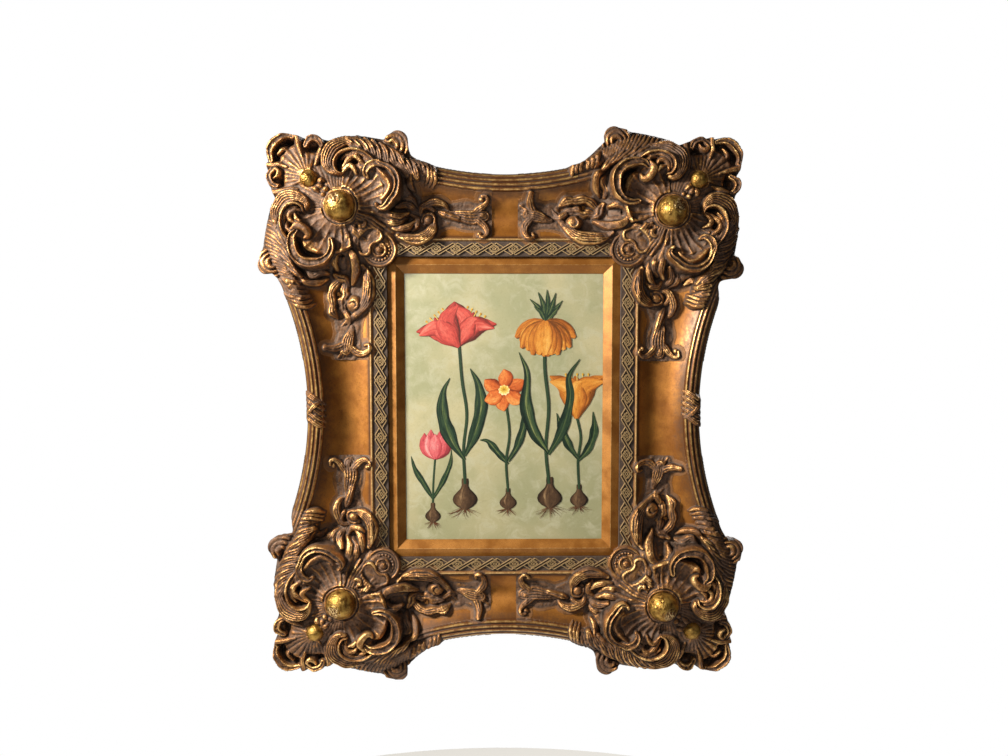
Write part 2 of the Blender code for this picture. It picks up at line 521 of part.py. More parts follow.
def add_object(name, points, faces, finish):
    """An object from points in millimetres from the frame's centre: x right, z up and h out from the wall."""
    mesh = bpy.data.meshes.new(name)
    mesh.from_pydata([(x * MM, -h * MM, (z - HANGER_RISE) * MM) for x, z, h in points], [], faces)
    mesh.update()
    made = bpy.data.objects.new(name, mesh)
    bpy.context.scene.collection.objects.link(made)
    if finish:
        mesh.materials.append(finish)
    return made


def face_outwards(made):
    """Turns the faces of a closed mesh outwards."""
    shape = bmesh.new()
    shape.from_mesh(made.data)
    bmesh.ops.recalc_face_normals(shape, faces=shape.faces)
    shape.to_mesh(made.data)
    shape.free()


def triangulated(points, loops, keep):
    """Delaunay triangles over the points, with the closed loops as edges; keep says which to leave."""
    edges = [(a, loop[(i + 1) % len(loop)]) for loop in loops for i, a in enumerate(loop)]
    found = delaunay_2d_cdt([Vector(p) for p in points], edges, [], 0, 1e-6)
    points = np.array([tuple(v) for v in found[0]])
    faces = np.array(found[2])
    return points, faces[keep(points[faces].mean(1))]


def open_edges(faces):
    """Directed edges that only one triangle has."""
    ends = np.concatenate([faces[:, [0, 1]], faces[:, [1, 2]], faces[:, [2, 0]]])
    present = {(int(a), int(b)) for a, b in ends}
    return [(a, b) for a, b in sorted(present) if (b, a) not in present]


def outline():
    """The frame's outer edge as one closed clockwise loop of x, z."""
    sides = [np.stack(from_casting(k, *corner_outline(k).T), 1) for k in range(4)]
    loop = resampled(np.concatenate(sides + [sides[0][:1]]), OUTLINE_STEP)
    return loop[:-1]


def inner_edge():
    """The edge of the opening: the lattice band's inner edge, with the rosettes reaching over it."""
    found = []
    for k in range(4):
        u, w = BOSS_SIDE - BAND_IN, BAND_IN - BOSS_TOP
        across = np.sqrt(ROSETTE_RADIUS ** 2 - (u - ROSETTE[0]) ** 2)
        down = np.sqrt(ROSETTE_RADIUS ** 2 - (w - ROSETTE[1]) ** 2)
        start = np.degrees(np.arctan2(-across, u - ROSETTE[0]))
        end = np.degrees(np.arctan2(w - ROSETTE[1], down))
        bulge = arc(*ROSETTE, ROSETTE_RADIUS, start, end)
        found.append(np.stack(from_casting(k, *bulge.T), 1))
    loop = resampled(np.concatenate(found + [found[0][:1]]), OUTLINE_STEP)
    return loop[:-1]


def in_frame(points, outer, inner, margin=0.0):
    """True where points lie between the two loops, margin inside both."""
    outer = np.concatenate([outer, outer[:1]])
    inner = np.concatenate([inner, inner[:1]])
    return (signed_distance(outer, points) < -margin) & (signed_distance(inner, points) > margin)


def frame_mesh(finish):
    """The relief, closed by side walls that draw in towards a flat back."""
    outer, inner = outline(), inner_edge()
    x = np.arange(-370, 370, GRID)
    z = np.arange(-420, 420, GRID)
    grid = np.stack(np.meshgrid(x, z), -1).reshape(-1, 2)
    grid = grid[in_frame(grid, outer, inner, 0.6 * GRID)]
    points = np.concatenate([outer, inner, grid])
    loops = [list(range(len(outer))), list(range(len(outer), len(outer) + len(inner)))]
    points, faces = triangulated(points, loops, lambda middle: in_frame(middle, outer, inner))
    face = np.column_stack([points, height(points)])
    walls = []
    rim = open_edges(faces)
    index = sorted({a for edge in rim for a in edge})
    rings = [dict(zip(index, index))]
    after = dict(rim)
    before = {b: a for a, b in rim}
    extra = []
    for level, inset in WALL_RINGS:
        ring = {}
        for a in index:
            run = points[after[a]] - points[before[a]]
            inwards = np.array([-run[1], run[0]]) / np.hypot(*run)
            is_outer = max(abs(points[a]) - HALF) > (BAND_IN + BAND_OUT) / 2
            at = points[a] + inwards * (inset if is_outer else 0)
            ring[a] = len(face) + len(extra)
            extra.append((at[0], at[1], level))
        rings.append(ring)
    for upper, lower in zip(rings, rings[1:]):
        walls += [(upper[b], upper[a], lower[a], lower[b]) for a, b in rim]
    face = np.concatenate([face, extra])
    last = np.array([rings[-1][a] for a in index])
    place = {a: i for i, a in enumerate(last)}
    back_loops = chains({place[rings[-1][a]]: place[rings[-1][b]] for a, b in rim})
    back = face[last][:, :2]
    big = max(back_loops, key=lambda loop: np.ptp(back[loop][:, 0]))
    small = min(back_loops, key=lambda loop: np.ptp(back[loop][:, 0]))
    keep = lambda middle: between(middle, back[big], back[small])
    flat, back_faces = triangulated(back, [big, small], keep)
    if len(flat) != len(back):
        raise RuntimeError("the back's edge crosses itself")
    back_faces = [tuple(int(last[i]) for i in reversed(t)) for t in back_faces]
    made = add_object("frame", face, [tuple(map(int, t)) for t in faces] + walls + back_faces, finish)
    face_outwards(made)
    return made


def between(points, big, small):
    """True between two closed loops that may run either way round."""
    def inside(loop):
        x, z = points[:, :1], points[:, 1:]
        (ax, az), (bx, bz) = loop.T, np.roll(loop, -1, axis=0).T
        crosses = (az > z) != (bz > z)
        span = np.where(bz == az, 1, bz - az)
        return ((crosses & (x < ax + (bx - ax) * (z - az) / span)).sum(1) % 2) == 1
    return inside(big) & ~inside(small)


def chains(after):
    """The closed loops of a next-point map."""
    left, found = dict(after), []
    while left:
        start = next(iter(left))
        loop = [start]
        while (following := left.pop(loop[-1])) != start:
            loop.append(following)
        found.append(loop)
    return found


def box(name, low, high):
    """A cutter from low to high, each x, z, h."""
    corners = [(x, z, h) for x in (low[0], high[0]) for z in (low[1], high[1]) for h in (low[2], high[2])]
    faces = [(0, 1, 3, 2), (4, 6, 7, 5), (0, 4, 5, 1), (2, 3, 7, 6), (0, 2, 6, 4), (1, 5, 7, 3)]
    made = add_object(name, corners, faces, None)
    face_outwards(made)
    made.hide_render = True
    made.display_type = "WIRE"
    return made


def cut(made, cutter):
    modifier = made.modifiers.new(cutter.name, "BOOLEAN")
    modifier.operation = "DIFFERENCE"
    modifier.object = cutter


def make_frame():
    finish = material("gilt_frame", (0.30, 0.17, 0.07), 0.45, 0.6)
    frame = frame_mesh(finish)
    simplify = frame.modifiers.new("simplify", "DECIMATE")
    simplify.ratio = FRAME_TRIANGLES / sum(len(p.vertices) - 2 for p in frame.data.polygons)
    lip = HALF + BAND_IN + 1
    rebate = HALF + REBATE
    beyond = HALF + RAIL_OUT + 100
    cut(frame, box("back_cutter", (-beyond[0], -beyond[1], -20), (beyond[0], beyond[1], 0)))
    cut(frame, box("lip_cutter", (-lip[0], -lip[1], REBATE_HEIGHT - 2), (lip[0], lip[1], LIP_HEIGHT)))
    cut(frame, box("rebate_cutter", (-rebate[0], -rebate[1], -5), (rebate[0], rebate[1], REBATE_HEIGHT)))
    slot = (HANGER_LENGTH / 2 + GAP, HANGER_WIDTH / 2 + GAP)
    cut(frame, box("hanger_cutter", (-slot[0], HANGER_RISE - slot[1], -5),
                   (slot[0], HANGER_RISE + slot[1], HANGER_THICKNESS + GAP)))
    cut(frame, box("nail_cutter", (-HANGER_LENGTH * 0.36, HANGER_RISE - slot[1] - 3, -5),
                   (HANGER_LENGTH * 0.36, HANGER_RISE + 2, 7)))
    return frame


def mitred(name, section, finish):
    """A rectangular frame whose section is a closed list of (distance from the sight edge, height)."""
    points, faces = [], []
    for sx, sz in ((-1, 1), (1, 1), (1, -1), (-1, -1)):
        points += [(sx * (HALF[0] + s), sz * (HALF[1] + s), h) for s, h in section]
    n = len(section)
    for k in range(4):
        for i in range(n):
            j, m = (i + 1) % n, (k + 1) % 4
            faces.append((k * n + i, k * n + j, m * n + j, m * n + i))
    made = add_object(name, points, faces, finish)
    face_outwards(made)
    return made


def make_liner():
    """The gilt slip: an inner bevel up to a ridge, an outer slope, and a flange held by the frame's lip."""
    section = [
        (0, PANEL_FRONT + GAP),
        (0, LINER_SIGHT_HEIGHT),
        (LINER_RIDGE - 0.6, LINER_RIDGE_HEIGHT - 0.2),
        (LINER_RIDGE + 0.6, LINER_RIDGE_HEIGHT - 0.1),
        (BAND_IN + 1 - GAP, LINER_EDGE_HEIGHT),
        (BAND_IN + 1 - GAP, REBATE_HEIGHT - GAP),
        (REBATE - GAP, REBATE_HEIGHT - GAP),
        (REBATE - GAP, LINER_BACK),
        (PANEL_MARGIN + GAP, LINER_BACK),
        (PANEL_MARGIN + GAP, PANEL_FRONT + GAP),
    ]
    return mitred("liner", section, material("gilt_liner", (0.62, 0.33, 0.10), 0.35, 0.75))


def make_painting():
    half = HALF + PANEL_MARGIN
    low = (-half[0], -half[1], PANEL_FRONT - PANEL_THICKNESS)
    made = box("painting", low, (half[0], half[1], PANEL_FRONT))
    made.hide_render = False
    made.display_type = "TEXTURED"
    made.data.materials.append(material("oil_paint", (0.62, 0.60, 0.40), 0.4, 0.0))
    return made


def make_hanger():
    """A steel plate let into the back, with saw teeth along its lower edge that catch a nail."""
    half_length, half_width, tooth = HANGER_LENGTH / 2, HANGER_WIDTH / 2, 3.0
    span = HANGER_LENGTH * 0.3
    lower = [(-half_length, -half_width + 2), (-half_length + 2, -half_width)]
    for k in range(HANGER_TEETH):
        x = -span + 2 * span * k / (HANGER_TEETH - 1)
        pitch = span / (HANGER_TEETH - 1)
        lower += [(x - pitch * 0.9, -half_width), (x, -half_width + tooth)]
    lower += [(span + 2, -half_width), (half_length - 2, -half_width), (half_length, -half_width + 2)]
    upper = [(half_length, half_width - 2), (half_length - 2, half_width)]
    edge = lower + upper + [(-x, z) for x, z in reversed(upper)]
    n = len(edge)
    points = [(x, z + HANGER_RISE, h) for h in (0, HANGER_THICKNESS) for x, z in edge]
    faces = [tuple(range(n)), tuple(range(2 * n - 1, n - 1, -1))]
    faces += [(i, (i + 1) % n, (i + 1) % n + n, i + n) for i in range(n)]
    made = add_object("hanger", points, faces, material("zinc_steel", (0.55, 0.55, 0.56), 0.4, 1.0))
    face_outwards(made)
    return made


def main():
    for old in list(bpy.data.objects):
        bpy.data.objects.remove(old, do_unlink=True)
    make_frame()
    make_liner()
    make_painting()
    make_hanger()


main()
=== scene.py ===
"""The looks of the framed oil painting: carved gilt corners, swept mouldings, liner, painted panel and back.

Shapes are worked out in millimetres from the middle of the painting: x right, z up and h out from the wall.
Each corner has its own u (along its top arm) and w (outwards), with its large boss at 0, 0.
"""

import math

import bpy
import numpy as np
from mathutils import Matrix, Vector
from mathutils.geometry import delaunay_2d_cdt


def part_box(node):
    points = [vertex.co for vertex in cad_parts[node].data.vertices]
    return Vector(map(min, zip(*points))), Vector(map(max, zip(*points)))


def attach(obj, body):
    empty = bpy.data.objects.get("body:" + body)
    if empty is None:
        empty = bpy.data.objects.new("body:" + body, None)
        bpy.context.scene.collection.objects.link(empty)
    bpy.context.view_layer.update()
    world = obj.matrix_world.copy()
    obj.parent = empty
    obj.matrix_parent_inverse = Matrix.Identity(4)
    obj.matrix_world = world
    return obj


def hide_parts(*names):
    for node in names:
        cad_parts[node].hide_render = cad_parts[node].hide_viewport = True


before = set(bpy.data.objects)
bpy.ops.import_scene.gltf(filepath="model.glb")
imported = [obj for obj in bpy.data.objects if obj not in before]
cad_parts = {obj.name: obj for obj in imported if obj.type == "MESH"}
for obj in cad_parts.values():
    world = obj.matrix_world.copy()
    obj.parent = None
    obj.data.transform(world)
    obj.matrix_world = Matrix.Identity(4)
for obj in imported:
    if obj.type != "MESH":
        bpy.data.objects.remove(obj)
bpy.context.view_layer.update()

MM = 0.001
PANEL_MARGIN = 6.5  # how far the panel runs on under the liner
PANEL_BOX, LINER_BOX, FRAME_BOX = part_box("painting"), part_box("liner"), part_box("frame")
CENTRE = (PANEL_BOX[0] + PANEL_BOX[1]) / 2
HALF = np.array([PANEL_BOX[1].x - PANEL_BOX[0].x, PANEL_BOX[1].z - PANEL_BOX[0].z]) / MM / 2 - PANEL_MARGIN
PANEL_FRONT = -PANEL_BOX[0].y / MM
PANEL_BACK = -PANEL_BOX[1].y / MM
LINER_RIDGE_HEIGHT = -LINER_BOX[0].y / MM
LINER_BACK = -LINER_BOX[1].y / MM
REBATE = (LINER_BOX[1].x - LINER_BOX[0].x) / MM / 2 - HALF[0] + 0.3

BOSS_SIDE, BOSS_TOP = 85.0, 92.0  # from the sight corner to a corner's boss, along its two arms
BAND_IN, BAND_OUT, FILLET_OUT = 24.0, 46.0, 51.0  # lattice band and fillet, from the sight edge
RAIL_OUT, RAIL_WIDTH = 142.0, 27.0  # outer rail at the middle of a side
SWEEP_RADIUS = 466.0
BOSS, BOSS_RADIUS, BOSS_HEIGHT = (-2.5, 1.0), 21.5, 97.0
BALL, BALL_RADIUS, BALL_HEIGHT = (-47.0, 40.5), 13.0, 76.5
ROSETTE, ROSETTE_RADIUS, ROSETTE_TOP = (51.0, -59.0), 25.0, 56.0
BAND_HEIGHT, FILLET_HEIGHT, LIP_HEIGHT, REBATE_HEIGHT = 46.0, 48.7, 43.2, 32.0
COVE_INNER_HEIGHT, COVE_OUTER_HEIGHT, COVE_DEPTH = 45.5, 56.0, 14.0
RAIL_HEIGHT, RAIL_CROWN, REEDS, REED_DEPTH = 63.0, 10.0, 4, 2.5
RAIL_START = 134.0  # from the boss, where a casting ends and its rail goes on alone
LINER_RIDGE, LINER_SIGHT_HEIGHT, LINER_EDGE_HEIGHT = 12.5, 35.0, 39.2
RECESS_LENGTH, RECESS_WIDTH, RECESS_DEPTH = 60.6, 14.6, 7.0  # the hanger's, in the back
RECESS_TAB = 43.0, 3.0  # length and width of the step below it
WALL_RINGS = ((30.0, 1.5), (12.0, 5.0), (0.0, 6.0))  # height and inset of the side wall, down to the back

GRID, KNOT_GRID = 0.9, 0.6  # spacing of the points of a casting and of a knot
RIM_REACH = 1.6 * GRID  # how near a casting's open edge lies to the outline or rosette it ends at
CASTING_SPAN = (-128, 214), (-218, 112)  # how far a casting's grid reaches along u and w
FINE_REACH, BROAD_REACH, FINE_DEPTH = 1.2, 6.0, 0.45  # over which ridges and hollows are told for the colours
CLEAR_OF_COVE = 9.0  # a lift that counts as well above the moulding
CHUNK = 4000  # points measured at once
SEED = 7


# ---- curves --------------------------------------------------------------------------------------

def smooth(a, b, x):
    """0 up to a, 1 from b on, and a smooth step between."""
    t = np.clip((x - a) / (b - a), 0, 1)
    return t * t * (3 - 2 * t)


def arc(cu, cw, radius, start, end, end_radius=None):
    """Points of an arc, in degrees, or of a spiral where end_radius differs."""
    t = np.linspace(0, 1, max(5, int(abs(end - start) / 9) + 2))
    angle = np.radians(start + (end - start) * t)
    r = radius + ((radius if end_radius is None else end_radius) - radius) * t
    return np.stack([cu + r * np.cos(angle), cw + r * np.sin(angle)], 1)


def curve(*points, steps=6):
    """A smooth curve through a few points."""
    p = np.array(points, float)
    p = np.concatenate([[2 * p[0] - p[1]], p, [2 * p[-1] - p[-2]]])
    found = []
    for a, b, c, d in zip(p, p[1:], p[2:], p[3:]):
        for t in np.arange(steps) / steps:
            bend = (2 * a - 5 * b + 4 * c - d) * t * t + (3 * b - a - 3 * c + d) * t ** 3
            found.append(0.5 * (2 * b + (c - a) * t + bend))
    found.append(p[-2])
    return np.array(found)


def spread(value, t):
    """A constant, or values spread evenly from the start (t = 0) to the end (t = 1) of a path."""
    if np.ndim(value) == 0:
        return value
    return np.interp(t, np.linspace(0, 1, len(value)), value)


def nearest(path, p):
    """For each point: its distance to the path, the side it lies on (1 is left) and how far along it is."""
    a, ab = path[:-1], np.diff(path, axis=0)
    length = np.hypot(ab[:, 0], ab[:, 1])
    rel = p[:, None] - a
    t = np.clip((rel * ab).sum(-1) / np.maximum(length ** 2, 1e-9), 0, 1)
    off = rel - t[..., None] * ab
    d = np.hypot(off[..., 0], off[..., 1])
    k = d.argmin(1)
    i = np.arange(len(p))
    cross = ab[k, 0] * rel[i, k, 1] - ab[k, 1] * rel[i, k, 0]
    run = np.concatenate([[0], np.cumsum(length)])
    return d[i, k], np.sign(cross), (run[k] + t[i, k] * length[k]) / run[-1]


def along(path, t):
    """The points at fractions t of a path's length."""
    run = np.concatenate([[0], np.cumsum(np.hypot(*np.diff(path, axis=0).T))])
    at = np.asarray(t) * run[-1]
    return np.stack([np.interp(at, run, path[:, 0]), np.interp(at, run, path[:, 1])], -1)


def blurred(field, sigma, mask):
    """A Gaussian blur of a grid, in which only the masked points count."""
    def filtered(a):
        rows, columns = (np.exp(-2 * (np.pi * sigma * np.fft.fftfreq(n)) ** 2) for n in a.shape)
        return np.fft.ifft2(np.fft.fft2(a) * rows[:, None] * columns).real
    weight = filtered(mask.astype(float))
    return filtered(np.where(mask, field, 0.0)) / np.maximum(weight, 1e-3)


class Relief:
    """Heights z over points p, on which ornaments are laid one after another, the highest showing."""

    def __init__(self, u, w, z):
        self.p = np.stack([u, w], 1)
        self.z = np.array(z, float)
        self.floor = self.z.copy()

    def near(self, path, margin):
        """The points in a box about a path."""
        low, high = path.min(0) - margin, path.max(0) + margin
        return np.flatnonzero(((self.p > low) & (self.p < high)).all(1))

    def raise_to(self, index, z):
        """Lift points to these heights where they are lower."""
        self.z[index] = np.maximum(self.z[index], z)

    def stroke(self, path, width, top, crown=0.45, dish=0.0, rim=0.0, ribs=0, rib=1.2, draft=3.0, tilt=0.0,
               lobes=0, draped=False):
        """A carved stroke. Half its width and its top may change along it; dish hollows it between two thin
        rims. Draped, it follows the surface it lies on, and its top counts from there."""
        i = self.near(path, np.max(width) + 6)
        if not len(i):
            return
        d, side, t = nearest(path, self.p[i])
        half = spread(width, t)
        if lobes:
            half = half * (0.72 + 0.28 * np.abs(np.sin(np.pi * lobes * t)))
        q = np.minimum(d / half, 1)
        z = spread(top, t) - crown * half * q * q - dish * (1 - q ** 3) - draft * np.maximum(d - half, 0)
        z += tilt * half * q * side + rim * np.exp(-((half - d - 0.5) / 1.05) ** 2)
        if ribs:
            across = (q * side + 1) / 2
            z += rib * np.clip(half / (0.9 * ribs), 0, 1) * (np.abs(np.sin(np.pi * ribs * across)) - 1)
        if draped:
            z = self.floor[i] + np.maximum(z, 1.5 * np.exp(-np.maximum(d - half, 0) / 3.2))
        self.raise_to(i, z)

    def leaf(self, half, top, *points, ribs=3, rib=1.3, **more):
        """A veined stroke along a smooth curve."""
        self.stroke(curve(*points), half, top, ribs=ribs, rib=rib, **more)

    def laid(self, half, top, *points, **more):
        """A leaf that lies on the cove or the body under it."""
        self.leaf(half, top, *points, draped=True, draft=4, **more)

    def ball(self, cu, cw, radius, top, draped=False):
        """Half a ball; draped, its top counts from the lowest surface under it."""
        i = self.near(np.array([[cu, cw]]), radius)
        d = np.hypot(*(self.p[i] - (cu, cw)).T)
        i, d = i[d < radius], d[d < radius]
        z = top - radius + np.sqrt(radius ** 2 - d ** 2)
        self.raise_to(i, z + np.min(self.floor[i]) if draped and len(i) else z)

    def hollow(self, path, radius, depth):
        """A soft hollow about a point or along a path."""
        path = np.array(path, float)
        i = self.near(path, 3 * radius)
        if len(path) == 1:
            d = np.hypot(*(self.p[i] - path[0]).T)
        else:
            d = nearest(path, self.p[i])[0]
        self.z[i] -= depth * np.exp(-(d / radius) ** 2)

    def fan(self, cu, cw, start, end, inner, outer, top, dip, ribs, rib, crest=False):
        """Ribs from radius inner to outer, dipped between; crest makes them sharp and the channels round."""
        rel = self.p - (cu, cw)
        r = np.hypot(*rel.T)
        mid = (start + end) / 2
        angle = (np.degrees(np.arctan2(rel[:, 1], rel[:, 0])) - mid + 180) % 360 - 180 + mid
        f = (angle - start) / (end - start)
        t = (r - inner) / (spread(outer, np.clip(f, 0, 1)) - inner)
        i = np.flatnonzero((f > 0) & (f < 1) & (t > 0) & (t < 1.1))
        t, f = t[i], f[i]
        z = top[0] + (top[1] - top[0]) * t - dip * 4 * t * (1 - t) - 60 * np.maximum(t - 1, 0)
        wave = np.abs(np.sin(np.pi * ribs * f))
        z += rib * np.clip(2.5 * t, 0.35, 1) * (-wave ** 0.9 if crest else wave ** 0.8 - 1)
        self.raise_to(i, z)


def sweep(distance):
    """How far the rail bows out at this distance from the middle of its side."""
    return SWEEP_RADIUS - np.sqrt(np.maximum(SWEEP_RADIUS ** 2 - distance ** 2, 0))


def casting_edge():
    """Its outer edge, from its end on the side arm, round the corner, to its end on the top arm."""
    return np.concatenate([
        curve((-77, -134), (-84, -123), (-90, -110), (-98, -98), (-104, -93), steps=4),
        arc(-109.5, -81, 14, 250, 150),
        curve((-119, -62), (-116, -42), (-112, -22), (-107, -3), (-101, 10), (-99, 19), (-104, 30), steps=3),
        arc(-91.5, 44, 17.5, 190, 165),
        arc(-81.5, 77.5, 27.5, 195, 70),
        arc(-41, 87, 16, 130, 45),
        curve((-22, 97), (-4, 101), (17, 104), (38, 102), (58, 99), (64, 102), steps=4),
        arc(79, 95, 14.5, 140, -10),
        curve((95, 82), (98, 75), (107, 70), (118, 67), (124, 66), (130, 58), steps=3),
    ])


def ground(u, w, edge):
    """Height of the casting's body under its ornaments; edge is the distance inside its outline."""
    r = np.hypot(u - BOSS[0], w - BOSS[1])
    g = 47.5 + 24 * np.exp(-(r / 64) ** 2)
    g += 8 * np.exp(-((u - BALL[0]) ** 2 + (w - BALL[1]) ** 2) / 28 ** 2)
    g += 5 * np.exp(-((u - ROSETTE[0]) ** 2 + (w - ROSETTE[1]) ** 2) / 31 ** 2)
    g -= 7 * np.exp(-np.maximum(edge, 0) / 4)
    turn = np.arctan2(w - BOSS[1], u - BOSS[0])
    g += 1.1 * smooth(24, 34, r) * (np.abs(np.sin(28 * turn + 0.05 * r)) - 1)
    return g - 14 * smooth(62, 98, u) - 14 * smooth(70, 105, -w)


def outer_shell(f):
    """Three lobes with thin double rims round deep pits, and flutes that run to the small ball."""
    f.fan(*BALL, 76, 112, 11, [36, 40, 44, 47], (67, 57), 1, 3, 1.5)
    f.fan(*BALL, 112, 168, 11, [49, 52, 50, 46, 41], (68, 56), 1.5, 5, 2.2)
    f.fan(*BALL, 168, 204, 11, [41, 38, 36], (67, 57), 1, 3, 1.5)
    f.hollow([(-98, 74), (-93, 84), (-84, 91), (-75, 94)], 5, 15)
    f.hollow([(-87, 57), (-88, 44), (-87, 33)], 3.6, 14)
    f.hollow([(-56, 88), (-47, 84), (-38, 85)], 4.6, 13)
    f.stroke(arc(-81.5, 77.5, 23.6, 205, 68), [3, 3.9, 3.9, 3], [57, 58.5, 59, 57], crown=0, dish=1.8,
             rim=0.9, draft=5)
    f.stroke(arc(-41, 86, 12.6, 165, 20), [2.4, 3.2, 3.4, 2.4], [57, 58.5, 58.5, 57], crown=0, dish=1.4,
             rim=0.8, draft=5)
    f.stroke(arc(-90.5, 45, 14.4, 100, 262), [2.2, 3.2, 2.4], [56, 57, 58], crown=0, dish=1.4, rim=0.8,
             draft=5)
    f.leaf([3.2, 3.2, 2.4, 1.2], [59, 60, 61, 62], (-66, 102), (-63, 92), (-60, 82), (-57, 70), ribs=2,
           rib=1.1)
    f.leaf([2.4, 3, 2.4, 1.2], [57, 59, 60, 62], (-108, 61), (-99, 61), (-90, 62), (-78, 58), ribs=2, rib=1)
    f.leaf([1, 2.2, 2.4, 2.2, 1.2], [57, 59, 60, 60, 58], (-100, 51), (-95, 56), (-90, 52), (-92, 45),
           (-97, 42), ribs=2, rib=0.8)
    f.leaf([1, 2.2, 1.2], [55, 57, 56], (-92, 78), (-85, 84), (-79, 83), ribs=2, rib=0.8)
    f.leaf([2, 3.2, 3, 2.4, 1], [57, 61, 63, 65, 64], (-104, 26), (-95, 22), (-86, 23), (-72, 26), (-62, 26),
           ribs=2, rib=1)
    f.leaf([2, 3.4, 1.4], [62, 64, 63], (-30, 84), (-34, 72), (-38, 60), rib=1)
    f.stroke(arc(*BALL, 14, 0, 360), 1.3, 63.5)
    for turn, reach in ((-52, 22), (-30, 25), (-8, 22)):
        a = np.radians(turn)
        end = (BALL[0] + reach * math.cos(a), BALL[1] + reach * math.sin(a))
        start = (BALL[0] + BALL_RADIUS * math.cos(a - 0.2), BALL[1] + BALL_RADIUS * math.sin(a - 0.2))
        f.leaf([1.4, 3.4, 3.4, 2.2], [69, 72.5, 73, 71], start,
               ((start[0] + end[0]) / 2, (start[1] + end[1]) / 2 + 1.5), end, crown=0.6, rib=1)
    f.ball(-22, 25, 4, 74)
    f.ball(-26, 18, 3.4, 73)


def tongues(f, edge, root, count, half, top, bow=0.14, ribs=3, tilt=0.35, rib=1.5):
    """Leaning leaf strokes from an outer edge to a root line, bowed forwards and lapping over each other."""
    ends = zip(along(edge, np.linspace(0, 1, count)), along(root, np.linspace(0, 1, count)))
    for a, b in ends:
        bulge = bow * np.array([a[1] - b[1], b[0] - a[0]])
        f.leaf(half, top, a, (a + b) / 2 + bulge, b, crown=0.15, ribs=ribs, rib=rib, draft=5, tilt=tilt)


def leaf_bands(f):
    """The bands of leaf strokes along both outer edges, and the curled ears that end them."""
    edge = curve((-2, 97), (14, 100), (30, 99), (42, 96), (54, 91), (66, 83), (79, 75), (94, 69))
    root = curve((20, 85), (33, 77), (47, 69), (58, 60), (68, 62), (84, 58), (94, 52), (106, 43))
    tongues(f, edge, root, 10, [2.4, 4.4, 5.2, 5, 2.8], [58, 64, 68, 69.5, 68], bow=0.03, rib=2.1, tilt=0.12)
    f.leaf([2, 4, 4, 2], [62, 68, 68, 64], (70, 80), (80, 72), (87, 62), (96, 54), rib=1.4, tilt=0.2)
    f.leaf([2.4, 4.4, 4, 1.4], [66, 69, 66, 60], (76, 60), (84, 56), (93, 48), (100, 42), rib=1.4, tilt=0.2)
    edge = curve((-100, 4), (-104, -12), (-109, -28), (-112, -44), (-111, -60), (-105, -76), (-97, -90),
                 (-89, -103))
    root = curve((-86, -20), (-83, -32), (-82, -46), (-84, -58), (-84, -70), (-80, -84), (-72, -96),
                 (-64, -108))
    tongues(f, edge, root, 21, [1.4, 2.5, 2.8, 2.4, 1.4], [53, 58, 61, 63, 62], bow=0.04, ribs=1, rib=1.4,
            tilt=0.2)
    edge = curve((-94, -16), (-96, -34), (-96, -50), (-92, -66), (-84, -80))
    root = curve((-82, -42), (-80, -56), (-77, -70), (-70, -84), (-60, -97))
    tongues(f, edge, root, 7, [1.4, 3.4, 4, 3.6, 1.6], [58, 64, 67, 68, 66], bow=0.04, ribs=2, rib=1.9,
            tilt=0.15)
    f.leaf([2, 4, 5], [53, 55, 56], (62, 96), (70, 93), (78, 92), ribs=2, rib=1.2)
    for n, radius in enumerate((6.5, 13.5, 20.5)):
        f.stroke(arc(72, 88, radius, 125, -30), [1.6, 3.7, 3.8, 1.6], 59 - 1.2 * n, crown=0.42, draft=4)
        f.stroke(arc(-102, -77, radius, 115, 290), [1.4, 3.6, 3.7, 1.4], 58 - 1.2 * n, crown=0.42, draft=4)
    f.leaf([2, 4, 3.4], [53, 55, 56], (-114, -58), (-114, -68), (-110, -77), rib=1.2)


